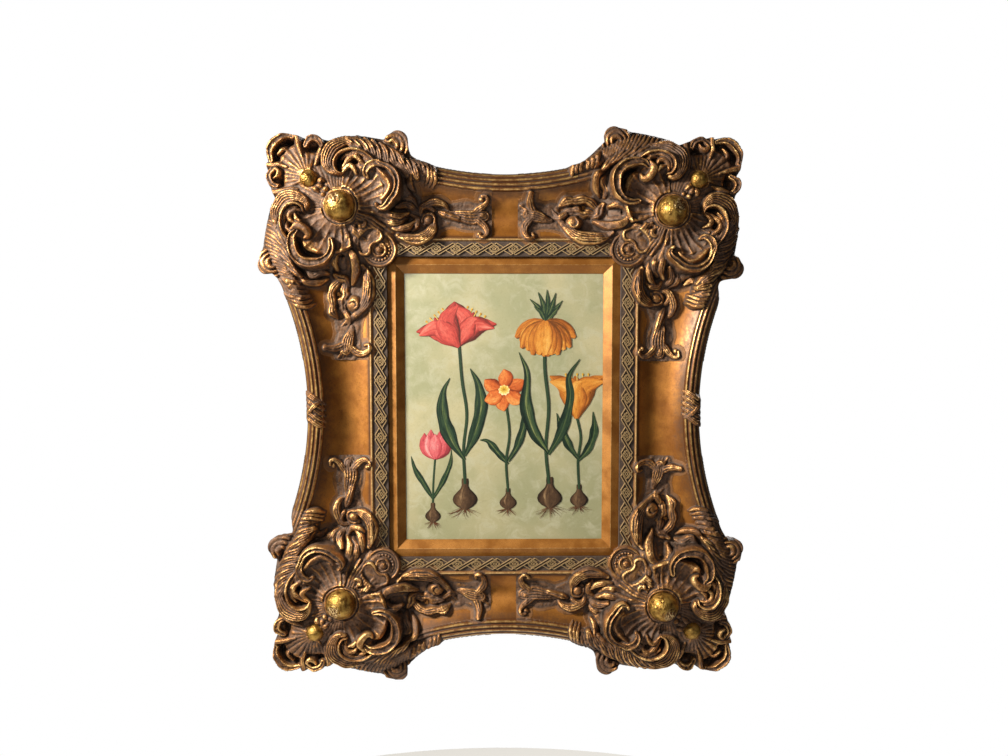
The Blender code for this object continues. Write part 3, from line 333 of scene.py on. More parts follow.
def acanthus_hooks(f):
    """The two hooked leaves beside the boss: broad and veined, with a slit, a thin rim and curled tips."""
    f.hollow([(0, 66), (6, 58)], 6, 9)
    f.leaf([2, 4, 7.5, 9.5, 10, 8.5, 5.5, 2], [62, 66, 69, 72, 74, 76, 76.5, 75], (34, 94), (14, 95),
           (-4, 90), (-15, 81), (-20, 69), (-19, 58), (-13, 50), (-4, 47), ribs=5, rib=3.0, crown=0.22,
           draft=5, tilt=0.12)
    f.stroke(curve((46, 68), (33, 76), (20, 80), (8, 79), (-2, 74), (-8, 66), (-9, 57), (-6, 50), (0, 47)),
             [1, 1.4, 1.6, 1.7, 1.7, 1.6, 1.5, 1.3, 0.9], [74, 77, 79, 80.5, 81, 81, 80, 79, 77], crown=0.5,
             draft=6)
    f.leaf([1, 2.4, 2.8, 2.6, 1], [73, 75, 76, 76, 74], (42, 66), (30, 72), (19, 75), (9, 73), (2, 68),
           crown=0.3, draft=6, ribs=2, rib=1.2)
    f.leaf([1, 2.8, 4, 4, 3, 1], [72, 74, 76.5, 77, 76, 74], (0, 51), (5, 60), (13, 68), (22, 69), (29, 62),
           (37, 56), rib=1.6, draft=5, lobes=4)
    f.leaf([1, 2.6, 3.2, 2.6, 1], [73, 75.5, 77, 77, 75], (2, 48), (7, 55), (13, 58), (18, 53), (20, 47),
           draft=5)
    f.leaf([1.2, 3, 3.6, 3, 1.4], [70, 73, 74, 73, 71], (22, 52), (27, 60), (35, 66), (45, 66), (52, 61),
           draft=5)
    f.hollow([(-76, -18), (-73, -30)], 5, 9)
    f.leaf([1.6, 4, 7, 8.5, 9, 7.5, 5, 1.8], [60, 63, 66, 70, 74, 77, 77.5, 75], (-98, -30), (-98, -14),
           (-93, 1), (-84, 11), (-71, 16), (-58, 14), (-50, 6), (-50, -3), ribs=5, rib=2.8, crown=0.22,
           draft=5, tilt=-0.1)
    f.stroke(curve((-79, -44), (-85, -30), (-87, -16), (-83, -4), (-74, 4), (-64, 5), (-56, 0), (-54, -6)),
             [1, 1.4, 1.6, 1.7, 1.7, 1.6, 1.4, 0.9], [74, 77, 79, 80.5, 81, 80.5, 79, 77], crown=0.5, draft=6)
    f.leaf([1, 2.4, 2.8, 2.4, 1], [73, 75, 76, 76, 75], (-80, -34), (-82, -20), (-79, -8), (-71, -1),
           (-63, -1), crown=0.3, draft=6, ribs=2, rib=1.2)
    f.leaf([1, 3, 3.6, 3.2, 1.2], [73, 76, 77, 77, 75], (-58, -6), (-66, -5), (-73, -10), (-73, -18),
           (-67, -22), draft=5)
    f.leaf([1, 3, 3.4, 2.8, 1.2], [72, 75, 76.5, 76.5, 76], (-77, -20), (-77, -29), (-71, -34), (-64, -31),
           (-60, -24), draft=5, lobes=3)
    f.leaf([1.2, 2.8, 1.4], [75, 78, 77], (-66, -10), (-63, -17), (-58, -20), draft=5, ribs=2, rib=1.2)


def scroll_shells(f):
    """The fluted shells on two sides of the boss, each closed by a C-scroll with a double rim."""
    f.fan(*BOSS, -10, 84, 27, [50, 60, 68, 70, 66, 60, 54], (73, 74), 6, 8, 2.7, crest=True)
    f.hollow([(73, 44), (75, 30), (72, 16), (64, 8)], 2.8, 14)
    f.stroke(curve((50, 56), (55, 49), (61, 44), (66, 38), (69, 30), (67.5, 22), (64, 15), (58, 11)),
             [1, 1.2, 1.3, 1.3, 1.3, 1.3, 1.2, 1], [77, 78, 79, 79, 79, 78, 76, 74], draft=1.5, crown=0.3)
    f.stroke(curve((62, 57), (53, 61), (44, 60), (37, 55), (34, 48), (37, 43)), [2.6, 4.6, 5, 4.6, 3.6, 1.6],
             [78, 80, 80.5, 80, 78, 75], crown=0, dish=1.6, rim=0.6, draft=5)
    f.stroke(curve((48, 3), (56, 0.5), (66, 4.5), (74, 13), (78, 26), (77.5, 40), (72, 51), (64, 58),
                   (54, 62)), [1.4, 2.4, 3, 3.3, 3.4, 3.4, 3.4, 3.2, 2],
             [77, 80, 81, 81.5, 81.5, 81.5, 81.5, 81, 80], crown=0, dish=2.4, rim=0.9, draft=6)
    f.ball(48.5, 4, 2.6, 80)
    f.fan(*BOSS, 184, 286, 27, [58, 66, 74, 74, 70, 62, 56], (73, 74), 7, 7, 2.7, crest=True)
    f.hollow([(-61, -46), (-60, -58), (-48, -68.5), (-30, -69)], 2.6, 6)
    f.stroke(curve((-70, -31), (-63, -27), (-55, -28), (-49, -34), (-49, -41), (-54, -44)),
             [1.6, 4, 5, 4.6, 3.4, 1.4], [78, 81, 82, 81, 78, 75], crown=0.4, draft=5)
    f.stroke(curve((-63, -33), (-70, -41), (-72, -52), (-68.5, -64), (-61, -73), (-50, -78.5), (-37, -79.5),
                   (-26, -76), (-18, -68), (-15.5, -57), (-17, -47)),
             [2, 4.4, 5.2, 5.6, 5.6, 5.4, 5, 4.6, 4, 3.4, 2],
             [78, 80.5, 81.5, 81.5, 81.5, 81.5, 81.5, 81, 80.5, 80, 77], crown=0, dish=3.2, rim=1, draft=6)
    f.stroke(arc(*BOSS, BOSS_RADIUS + 1.6, 0, 360), 1.0, 71.5, draft=2)
    f.stroke(arc(*BOSS, BOSS_RADIUS + 4.8, 0, 360), 1.0, 70, draft=2)


def boss_leaves(f):
    """Leaves from the boss towards the rosette, and the bean-shaped loop on its rim."""
    for n in range(9):
        start = np.array([24 - 1.2 * n, -9 - 3.4 * n])
        f.stroke(curve(start, start + (18, -6 - 1.2 * n), start + (37 - 3.2 * n, -17 - 1.6 * n)),
                 [1.2, 2.3, 2.3, 1.4], [70, 69 - 0.2 * n, 65, 60], crown=0.5, draft=3)
    f.hollow([(50, -8), (62, -12), (74, -16)], 4.5, 10)
    f.hollow([(20, -30), (24, -24)], 3, 6)
    f.leaf([2, 4.4, 4.6, 3.4, 1.4], [69, 68, 65, 62, 57], (27, -3), (40, -4), (54, -6), (66, -12), (76, -20),
           ribs=4, rib=1.6, tilt=-0.15)
    f.leaf([2.4, 4.4, 4, 3.4, 1.4], [69, 68, 65, 62, 57], (14, -27), (20, -36), (17, -46), (19, -56),
           (16, -64), rib=1.4, lobes=3)
    f.leaf([1.8, 3.6, 1.6], [69, 67.5, 64], (4, -30), (6, -42), (1, -54))
    f.leaf([1.4, 3, 2.8, 1.4], [70, 71, 71, 69], (22, -22), (30, -27), (34, -22), (30, -17), ribs=2, rib=1.2)
    f.ball(26, -27, 3, 72)
    f.stroke(arc(*ROSETTE, ROSETTE_RADIUS / 2, 0, 360), ROSETTE_RADIUS / 2, ROSETTE_TOP - 3.5, crown=0.1)
    loop = curve((20, -55), (22, -45), (29, -37), (38, -31), (47, -29.5), (53.5, -34), (55, -41), (50, -46.5),
                 (43, -50), (39, -55), (38, -62), (32, -66), (25, -64), (20, -55))
    within = encloses(loop, f.p)
    f.z[within] = ROSETTE_TOP + 4.6 + 0.05 * (f.p[within, 0] - 38)
    f.stroke(loop, 1.5, ROSETTE_TOP + 6.4, crown=0.5, draft=4)


def rail_wraps(f):
    """Leaves wrapped over the rail where it leaves the corner, and the ragged cuff that ends them."""
    for k in range(4):
        f.leaf([2.2, 3.6, 3.4, 2], [57, 67.5 - k, 66 - k, 58 - k], (95 + 6.2 * k, 69 - 2 * k),
               (101 + 6.2 * k, 58 - 2 * k), (104 + 6.2 * k, 42 - 2 * k), crown=0.3, rib=1.2, tilt=0.25)
        f.leaf([2.2, 3.6, 3.4, 2], [57, 67.5 - k, 66 - k, 58 - k], (-88 + 3.6 * k, -99 - 7 * k),
               (-76 + 3.6 * k, -106 - 7 * k), (-62 + 3.6 * k, -105 - 7 * k), crown=0.3, rib=1.2, tilt=0.25)
    for k in range(3):
        f.leaf([1.8, 3, 3.2, 1.8], [55, 67, 66.5, 53], (117 + 5.4 * k, 64 - 2 * k),
               (121 + 5.4 * k, 55 - 2 * k), (122 + 5.4 * k, 44 - 2 * k), (117 + 6 * k, 32 - 2 * k), crown=0.6,
               ribs=2, rib=1, lobes=3)
        f.leaf([1.8, 3, 3.2, 1.8], [55, 67, 66.5, 53], (-85 + 3 * k, -121 - 6 * k),
               (-74 + 3 * k, -127 - 6 * k), (-62 + 3 * k, -129 - 6 * k), (-50 + 3 * k, -124 - 6 * k),
               crown=0.6, ribs=2, rib=1, lobes=3)


def top_spray(f):
    """The spray that lies in the cove of the top arm: leaves, a bud and a forked end."""
    f.stroke(curve((78, 2), (104, -12), (130, -11), (160, -8), (190, -11), (204, -12)),
             [30, 26, 17, 11, 15, 13], 3, crown=0.05, draft=0.4, draped=True)
    f.laid([3, 6, 6, 2], [17, 17, 13, 6], (83, 46), (84, 34), (90, 22), (102, 13), ribs=5, rib=1.8, tilt=-0.1)
    f.laid([2, 5, 1.5], [10, 12, 6], (96, 46), (95, 36), (101, 26), rib=1.4)
    f.laid([1.6, 5, 5, 1.6], [12, 14, 12, 6], (82, 14), (90, 16), (99, 12), (106, 4), rib=1.4)
    f.laid([2, 5, 5, 1.6], [14, 16, 13, 7], (78, 2), (88, 6), (98, 3), (106, -5), rib=1.4)
    f.leaf([3, 5, 4.6, 1.4], [62, 64, 61, 53], (60, -4), (70, -8), (81, -10), (93, -6), rib=1.5)
    f.leaf([3, 5, 4.6, 1.4], [60, 62, 59, 52], (60, -16), (69, -20), (79, -20), (89, -14), rib=1.5)
    f.leaf([2.5, 4.8, 4.6, 1.4], [57, 59, 57, 51], (72, -28), (82, -29), (94, -26), (103, -18), rib=1.5)
    f.laid([5, 9, 9, 5], [8, 9, 9, 8], (92, -2), (102, -4), (112, -10), (116, -22), ribs=4, rib=1.2, lobes=5)
    f.laid([1.8, 4, 4, 1.8], [11, 14, 14, 9], (98, -8), (105, -14), (106, -24), (100, -31))
    f.laid([2.4, 6, 7.4, 7.6, 6, 2], [10, 12, 13, 14, 14, 9], (78, -38), (92, -43), (108, -44), (120, -38),
           (128, -28), (131, -16), ribs=5, rib=2, crown=0.2, tilt=-0.12)
    f.laid([2, 3, 3.4, 3, 1.6], [10, 12, 12, 11, 9], (129, -3), (121, 4), (113, 1), (111, -7), (116, -10),
           ribs=2, rib=1.2)
    f.stroke(arc(122, -16, 9.4, 200, -20), [1, 1.8, 1], 11, draped=True, draft=4)
    f.ball(122, -16, 7.2, 15, draped=True)
    f.laid([2, 4.4, 5.4, 5, 3.8, 1.4], [8, 12, 13, 12, 10, 5], (108, -2), (116, 6), (126, 9), (138, 8),
           (147, 4), (152, -2), rib=1.7, crown=0.3)
    f.laid([2, 4.6, 4.8, 4, 1.4], [7, 12, 12.5, 11, 5], (136, -5), (146, -8), (156, -10), (166, -12),
           (175, -17), ribs=2, rib=1.6)
    f.laid([2.4, 5.8, 8, 9, 7], [6, 9, 10.5, 10, 7], (150, -5), (164, -7), (178, -11), (190, -12), (202, -11),
           ribs=5, rib=2, crown=0.2, tilt=0.1)
    f.laid([3.4, 5, 4.4, 3, 2, 1.6], [9, 9, 8.5, 8, 7, 6], (187, -8), (194, -2), (202, 4), (206, 11),
           (204, 17), (198, 17), rib=1.4, crown=0.3)
    f.laid([3.4, 4.8, 4.4, 3.4, 2.2, 1.6], [9, 9, 8.5, 8, 7, 6], (187, -13), (195, -17), (203, -24),
           (206, -32), (202, -39), (196, -39), rib=1.4, crown=0.3)
    f.laid([2.6, 3, 0.8], [9, 9, 4], (190, -10), (199, -10), (209, -14), ribs=2, rib=1.2)
    f.ball(197, 13, 3.6, 7.5, draped=True)
    f.ball(195, -36, 3.8, 7.5, draped=True)


def side_spray(f):
    """The spray in the side arm's cove: a curled leaf, a crescent, a bud, lobed leaves and a forked end."""
    f.stroke(curve((-6, -82), (4, -104), (6, -130), (4, -156), (3, -184), (2, -202)),
             [34, 28, 24, 16, 13, 18], 3, crown=0.05, draft=0.4, draped=True)
    f.hollow([(-3, -70), (-2, -84)], 3.6, 11)
    f.leaf([1.5, 3.4, 5.2, 6.2, 6.2, 4.4, 1.4], [62, 66, 67.5, 67, 64, 58, 51], (-5, -63), (4, -60.5),
           (11.5, -65), (16, -75), (17, -87), (14, -99), (12, -108), ribs=5, rib=2, crown=0.2, draft=5)
    f.leaf([1.5, 4.2, 4.8, 2], [62, 66, 65, 59], (-3, -63), (-10, -68), (-13, -77), (-10, -86), draft=5,
           rib=1.2)
    f.laid([2, 4.8, 4.8, 2], [14, 15, 14, 8], (-54, -88), (-45, -95), (-36, -91), (-25, -93))
    f.ball(-35, -88, 4.4, 16, draped=True)
    f.laid([1.6, 3.4, 1.6], [14, 16, 12], (-44, -84), (-34, -80), (-24, -84), ribs=2, rib=1.2)
    f.laid([2, 4.4, 4.4, 1.6], [12, 13, 12, 6], (-62, -92), (-52, -104), (-38, -106), (-26, -100))
    f.laid([3, 5.4, 4.8, 1.6], [10, 13, 12, 6], (-15, -95), (-8, -99), (1, -101), (6, -110), ribs=2, rib=1.4)
    f.laid([3, 6.6, 8.4, 8.4, 7, 5.4, 4.2, 3.2, 1], [10, 12, 13, 13, 13, 12, 10, 8, 4], (28, -84), (33, -96),
           (35, -110), (34, -123), (30, -134), (23, -144), (13, -153), (3, -161), (-6, -167), ribs=5, rib=2.1,
           crown=0.2, tilt=-0.1)
    f.laid([5, 8, 8, 4], [8, 9, 9, 7], (0, -106), (-1, -120), (-4, -134), (-3, -148), rib=1.2, lobes=4)
    f.laid([4, 5.6, 6.6, 6, 6.4, 2], [9, 12, 13, 12, 12, 6], (-8, -102), (-16, -111), (-19, -122),
           (-18, -134), (-18, -146), (-11, -156), rib=1.6, lobes=3, crown=0.3)
    f.hollow([(-6.4, -121)], 3.6, 9)
    f.hollow([(-5, -153)], 3.2, 7)
    f.ball(13, -137, 11, 16, draped=True)
    f.stroke(curve((6, -134), (11, -131), (17, -134), (18, -140), (13, -143)), [0.8, 1.4, 1.4, 1.2, 0.6],
             [15, 16.5, 16, 15, 14], draped=True, draft=2)
    f.laid([3.4, 5, 1.6], [9, 10, 5], (0, -148), (5, -157), (3, -167), ribs=2)
    f.laid([3.4, 6.4, 8.4, 8.4], [6, 9, 10.5, 9], (8, -170), (6, -180), (3, -190), (0, -202), ribs=5, rib=2,
           crown=0.2, tilt=-0.1)
    for n in range(3):
        f.laid([2, 3, 0.8], [9, 8.5, 3], (-3 + 2.4 * n, -197), (-7 + 4 * n, -206), (-12 + 6 * n, -214),
               ribs=2, rib=1.2)
    f.laid([5, 5.4, 4.6, 3], [9, 9.5, 9, 8], (0, -193), (-9, -198), (-19, -201), (-28, -200))
    f.ball(-29, -200, 4.8, 9.5, draped=True)
    f.laid([3, 4.4, 4.8, 4.2, 3, 2, 1.4], [9, 9, 8.5, 8, 8, 7, 6], (4, -197), (12, -204), (20, -208),
           (28, -207), (34, -201), (32, -195), (27, -196), rib=1.4, crown=0.3)


ORNAMENTS = (outer_shell, leaf_bands, acanthus_hooks, scroll_shells, boss_leaves, rail_wraps, top_spray,
             side_spray)


# ---- the frame's own x and z ---------------------------------------------------------------------

def turned(k, a, b):
    """Turns a vector by k quarter turns clockwise."""
    for _ in range(k % 4):
        a, b = b, -a
    return a, b


def from_casting(k, u, w):
    """A corner's u, w as x, z. Corners go clockwise from the top left."""
    sx, sz = ((-1, 1), (1, 1), (1, -1), (-1, -1))[k]
    a, b = turned(k, u - BOSS_SIDE, w + BOSS_TOP)
    return a + sx * HALF[0], b + sz * HALF[1]


def from_side(k, run, s):
    """A point of side k, at run clockwise from its middle and s out from the sight edge, as x, z."""
    return turned(k, run, HALF[(k + 1) % 2] + s)


def arms(k):
    """Lengths of corner k's top and side arm, from its boss to the middle of each side."""
    a, b = HALF if k % 2 == 0 else HALF[::-1]
    return a + BOSS_SIDE, b + BOSS_TOP


def corner_outline(k):
    """The outline of corner k in its own u, w, from the middle of one side to the middle of the next."""
    top, side = arms(k)
    edge = casting_edge()
    onto_rail = smooth(98, 136, edge[:, 0])
    edge[:, 1] += onto_rail * (RAIL_OUT + sweep(top - edge[:, 0]) - BOSS_TOP - edge[:, 1])
    onto_rail = smooth(98, 136, -edge[:, 1])
    edge[:, 0] += onto_rail * (BOSS_SIDE - RAIL_OUT - sweep(side + edge[:, 1]) - edge[:, 0])
    w = np.linspace(-side, edge[0, 1] - 4, 24)
    low = np.stack([BOSS_SIDE - RAIL_OUT - sweep(side + w), w], 1)
    u = np.linspace(edge[-1, 0] + 4, top, 20)
    high = np.stack([u, RAIL_OUT - BOSS_TOP + sweep(top - u)], 1)
    return np.concatenate([low, edge, high])


def encloses(loop, p):
    """True for points inside a closed loop."""
    (ax, ay), (bx, by) = loop.T, np.roll(loop, -1, axis=0).T
    rise = np.where(by == ay, 1, by - ay)
    crosses = (ay > p[:, 1:]) != (by > p[:, 1:])
    return ((crosses & (p[:, :1] < ax + (bx - ax) * (p[:, 1:] - ay) / rise)).sum(1) % 2) == 1


def inside_distance(k, p):
    """Distance in from corner k's outline, below 0 outside it."""
    line = corner_outline(k)
    far = 3 * RAIL_OUT
    loop = np.concatenate([line, [[line[-1, 0] + far, line[-1, 1]], [line[-1, 0] + far, line[0, 1] - far],
                                  [line[0, 0], line[0, 1] - far]]])
    found = []
    for i in range(0, len(p), CHUNK):
        part = p[i:i + CHUNK]
        found.append(np.where(encloses(loop, part), 1, -1) * nearest(line, part)[0])
    return np.concatenate(found)


# ---- the running moulding ------------------------------------------------------------------------

def cove_height(t):
    """The scooped cove, from its inner (t = 0) to its outer edge (t = 1)."""
    return COVE_INNER_HEIGHT + (COVE_OUTER_HEIGHT - COVE_INNER_HEIGHT) * t - COVE_DEPTH * 4 * t * (1 - t)


def reed(r):
    """1 on the crest of a reed and 0 in the groove beside it, across the rail from 0 to 1."""
    return np.abs(np.sin(REEDS * np.pi * r))


def rail_height(r):
    """The reeded rail: a half-round that falls away outwards, with its grooves cut in."""
    round_ = RAIL_CROWN * np.sqrt(np.clip(1 - (2 * r - 1) ** 2, 0, 1))
    bead = RAIL_HEIGHT - RAIL_CROWN + round_ - RAIL_CROWN * r ** 3
    return bead - REED_DEPTH * (1 - reed(r)) * np.clip(8 * r * (1 - r), 0, 1)


def moulding(s, out, rail):
    """Height at s from the sight edge, with the rail's outer edge at out; rail fades it under a corner."""
    rail_in = out - RAIL_WIDTH
    t = np.clip((s - FILLET_OUT) / (rail_in - FILLET_OUT), 0, 1)
    r = np.clip((s - rail_in) / RAIL_WIDTH, 0, 1)
    cove = cove_height(t)
    z = np.where(s < BAND_OUT, BAND_HEIGHT, np.where(s < FILLET_OUT, FILLET_HEIGHT - 0.6, cove))
    return np.where(s > rail_in, cove + (rail_height(r) - cove) * rail, z)


def under_corner(u, w):
    """1 where a corner's body takes the moulding's place, fading to 0 along its arms."""
    span = np.maximum(w + BOSS_TOP, BOSS_SIDE - u)
    return smooth(80, 120, span) * (1 - smooth(80, 100, u)) * (1 - smooth(84, 104, -w))


# ---- meshes --------------------------------------------------------------------------------------

def placed(x, z, h):
    """Millimetres from the painting's middle as metres in the scene, held inside the frame's box."""
    points = np.stack([x * MM + CENTRE.x, -h * MM, z * MM + CENTRE.z], -1).reshape(-1, 3)
    return np.clip(points, FRAME_BOX[0], FRAME_BOX[1])


def piece(name, points, faces, finish, node, slot, smoothed=True, **attributes):
    """A mesh of the object that stands for a node, with values of its own at each point."""
    mesh = bpy.data.meshes.new(name)
    mesh.from_pydata(points.tolist(), [], [tuple(map(int, f)) for f in faces])
    mesh.materials.append(finish)
    for key, values in attributes.items():
        coloured = np.ndim(values) == 2
        layer = mesh.attributes.new(key, "FLOAT_COLOR" if coloured else "FLOAT", "POINT")
        layer.data.foreach_set("color" if coloured else "value", np.asarray(values, np.float32).ravel())
    mesh.update()
    if smoothed:
        mesh.shade_smooth()
    made = bpy.data.objects.new(name, mesh)
    bpy.context.scene.collection.objects.link(made)
    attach(made, "root")
    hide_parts(node)
    return made


def frame_piece(name, x, z, h, faces, finish, **more):
    """A piece of the gilt frame, from its points in millimetres."""
    return piece(name, placed(x, z, h), faces, finish, "frame", "gilt_frame", **more)


def grid_faces(rows, columns, keep=None, closed=False):
    """Quads over a grid of points numbered row by row; they face up where rows go up and columns right."""
    index = np.arange(rows * columns).reshape(rows, columns)
    if closed:
        index = np.concatenate([index, index[:, :1]], 1)
    quads = np.stack([index[:-1, :-1], index[:-1, 1:], index[1:, 1:], index[1:, :-1]], -1)
    return quads.reshape(-1, 4) if keep is None else quads[keep]


def compacted(points, faces, *values):
    """Drops the points that no face uses."""
    used, place = np.unique(faces, return_inverse=True)
    return points[used], place.reshape(faces.shape), *(v[used] for v in values)


def touched(mask):
    """The cells of a grid that have a masked point at any corner."""
    return mask[:-1, :-1] | mask[:-1, 1:] | mask[1:, 1:] | mask[1:, :-1]


def carved_detail(h, step, mask):
    """How far each point of a relief stands above its close and its wider surroundings."""
    return (np.tanh((h - blurred(h, FINE_REACH / step, mask)) / FINE_DEPTH),
            h - blurred(h, BROAD_REACH / step, mask))


def open_edges(faces):
    """Directed edges that only one face has."""
    a, b = faces.ravel(), np.roll(faces, -1, axis=1).ravel()
    size = faces.max() + 1
    lone = ~np.isin(a * size + b, b * size + a)
    return a[lone], b[lone]


# ---- corners -------------------------------------------------------------------------------------

class Corner:
    """The relief of one pair of opposite corners on a regular grid, with the values its colours need."""

    def __init__(self, k):
        top, side = arms(k)
        u, w = np.meshgrid(*(np.arange(*reach, GRID) for reach in CASTING_SPAN))
        self.u, self.w = u, w
        self.edge = inside_distance(k, np.stack([u.ravel(), w.ravel()], 1)).reshape(u.shape)
        to_top, to_side = w + BOSS_TOP, BOSS_SIDE - u
        span = np.maximum(to_top, to_side)
        on_top = to_top > to_side
        self.rosette = np.hypot(u - ROSETTE[0], w - ROSETTE[1])
        inside = (self.edge > 0) & ((span > BAND_IN) | (self.rosette < ROSETTE_RADIUS))
        rail_in = RAIL_OUT - RAIL_WIDTH + np.where(on_top, sweep(top - u), sweep(side + w))
        z = np.where(on_top, moulding(to_top, RAIL_OUT + sweep(top - u), smooth(86, 118, u)),
                     moulding(to_side, RAIL_OUT + sweep(side + w), smooth(90, 122, -w)))
        body = ground(u, w, self.edge)
        under = under_corner(u, w)
        base = np.maximum(body, z + (body - z) * under)
        i = inside.ravel()
        everywhere = np.ones(u.shape, bool)
        grain = np.random.default_rng(SEED).normal(0, 1, (4, *u.shape))
        stray = [20 * blurred(g, 7 / GRID, everywhere) for g in grain[2:]]
        relief = Relief((u + stray[0]).ravel()[i], (w + stray[1]).ravel()[i], base.ravel()[i])
        for ornament in ORNAMENTS:
            ornament(relief)
        height = np.full(u.size, -20.0)
        height[i] = relief.z
        height = height.reshape(u.shape)
        rough = (0.7 * blurred(grain[0], 1.0 / GRID, everywhere)
                 + 4.5 * blurred(grain[1], 3.0 / GRID, everywhere))
        height = np.where(inside, height + rough * smooth(0.1, 1.5, height - z), height)
        self.height = np.where(inside, 0.6 * height + 0.4 * blurred(height, 0.8, inside), height)
        self.lift = np.where((span > rail_in - 1) | (under > 0.5), CLEAR_OF_COVE, self.height - z)
        self.fine, self.broad = carved_detail(self.height, GRID, inside)
        on_rail = (span > rail_in - 0.5) & (np.where(on_top, u, -w) < RAIL_START)
        kept = inside & ((under > 0.02) | (self.lift > 0.1) | on_rail)
        self.cells = touched(kept) & ~touched(~inside)
        self.sunk = np.where(kept, self.height, np.minimum(self.height, z) - 1.2)
        down, across = np.gradient(self.edge, GRID)
        slope = np.maximum(np.hypot(down, across), 1e-6)
        self.inwards = np.stack([across / slope, down / slope], -1)


def casting(name, corner, k, finish):
    """One corner's carving: its face, and side walls down to the back where it ends at the outline."""
    points = np.stack([corner.u.ravel(), corner.w.ravel(), corner.sunk.ravel()], 1)
    points, faces, edge, inwards, rosette, lift, fine, broad = compacted(
        points, grid_faces(*corner.u.shape, keep=corner.cells), corner.edge.ravel(),
        corner.inwards.reshape(-1, 2), corner.rosette.ravel(), corner.lift.ravel(), corner.fine.ravel(),
        corner.broad.ravel())
    a, b = open_edges(faces)
    rim = np.unique(a)
    outer = np.zeros(len(points), bool)
    outer[rim] = edge[rim] < RIM_REACH
    points[outer, :2] -= inwards[outer] * edge[outer, None]
    inner = np.zeros(len(points), bool)
    by_rosette = np.abs(rosette[rim] - ROSETTE_RADIUS) < RIM_REACH
    inner[rim] = ~outer[rim] & by_rosette & (points[rim, 2] > BAND_HEIGHT + 4)
    for flags, rings in ((outer, WALL_RINGS), (inner, ((LINER_EDGE_HEIGHT - 1, 0.0),))):
        here = flags[a] & flags[b]
        starts, ends = a[here], b[here]
        used = np.unique(np.concatenate([starts, ends]))
        base, ring = points[used, :2], np.arange(len(points))
        for level, inset in rings:
            below = ring.copy()
            below[used] = len(points) + np.arange(len(used))
            walls = np.stack([ring[ends], ring[starts], below[starts], below[ends]], 1)
            added = np.column_stack([base + inwards[used] * inset, np.full(len(used), level)])
            points, faces, ring = np.concatenate([points, added]), np.concatenate([faces, walls]), below
            lift, fine, broad = (np.concatenate([v, np.full(len(used), value)])
                                 for v, value in ((lift, CLEAR_OF_COVE), (fine, 0.0), (broad, -1.0)))
    x, z = from_casting(k, points[:, 0], points[:, 1])
    return frame_piece(name, x, z, points[:, 2], faces, finish, lift=lift, fine=fine, broad=broad)


def round_piece(name, k, centre, radii, heights, finish, steps, worn=None):
    """A turned form about a point of corner k; heights may be a function of radius and angle."""
    angle = np.linspace(0, 2 * np.pi, steps, endpoint=False)
    r, a = np.meshgrid(radii, angle, indexing="ij")
    h = heights(r, a) if callable(heights) else np.broadcast_to(np.asarray(heights)[:, None], r.shape)
    u, w = centre[0] + r * np.cos(a), centre[1] + r * np.sin(a)
    x, z = from_casting(k, u, w)
    faces = grid_faces(len(radii), steps, closed=True)[:, ::-1]
    fine = np.tanh((h - (np.roll(h, 2, 0) + np.roll(h, -2, 0)) / 2) / FINE_DEPTH)
    fine[:2], fine[-2:] = 0.5, 0.5
    patch = worn(r, a) if worn else np.zeros(r.shape)
    return frame_piece(name, x, z, h, faces, finish, fine=fine.ravel(), worn=patch.ravel(),
                       lift=np.full(h.size, CLEAR_OF_COVE), broad=np.zeros(h.size))


def dome(radius, top, rows):
    """Radii and heights down a ball, from its top to a little under its widest ring."""
    polar = np.radians(np.concatenate([[0.5], np.linspace(3, 112, rows)]))
    return radius * np.sin(polar), top - radius + radius * np.cos(polar)


def boss(name, k, finish):
    """The large ball, with a bubbled patch on its outer side that every casting repeats."""
    radii, heights = dome(BOSS_RADIUS, BOSS_HEIGHT, 60)
    rng = np.random.default_rng(SEED)
    lumps = [(*rng.uniform(-1, 1, 2) * BOSS_RADIUS, rng.uniform(1.3, 2.2), rng.uniform(-1.3, 0.5))
             for _ in range(150)]
    spot = np.array([-0.36, 0.46]) * BOSS_RADIUS

    def patch(r, a):
        """1 on the bubbled patch and 0 off it."""
        u, w = r * np.cos(a), r * np.sin(a)
        reach = np.hypot(u - spot[0], w - spot[1]) + 1.6 * np.sin(5 * a) + 1.2 * np.sin(11 * a)
        return 1 - smooth(8.5, 12, reach)

    def shaped(r, a):
        h = np.broadcast_to(heights[:, None], r.shape).copy()
        u, w = r * np.cos(a), r * np.sin(a)
        bumps = sum(depth * np.exp(-((u - cu) ** 2 + (w - cw) ** 2) / size ** 2)
                    for cu, cw, size, depth in lumps)
        return np.minimum(h + bumps * patch(r, a), BOSS_HEIGHT)

    return round_piece(name, k, BOSS, radii, shaped, finish, 88, worn=patch)


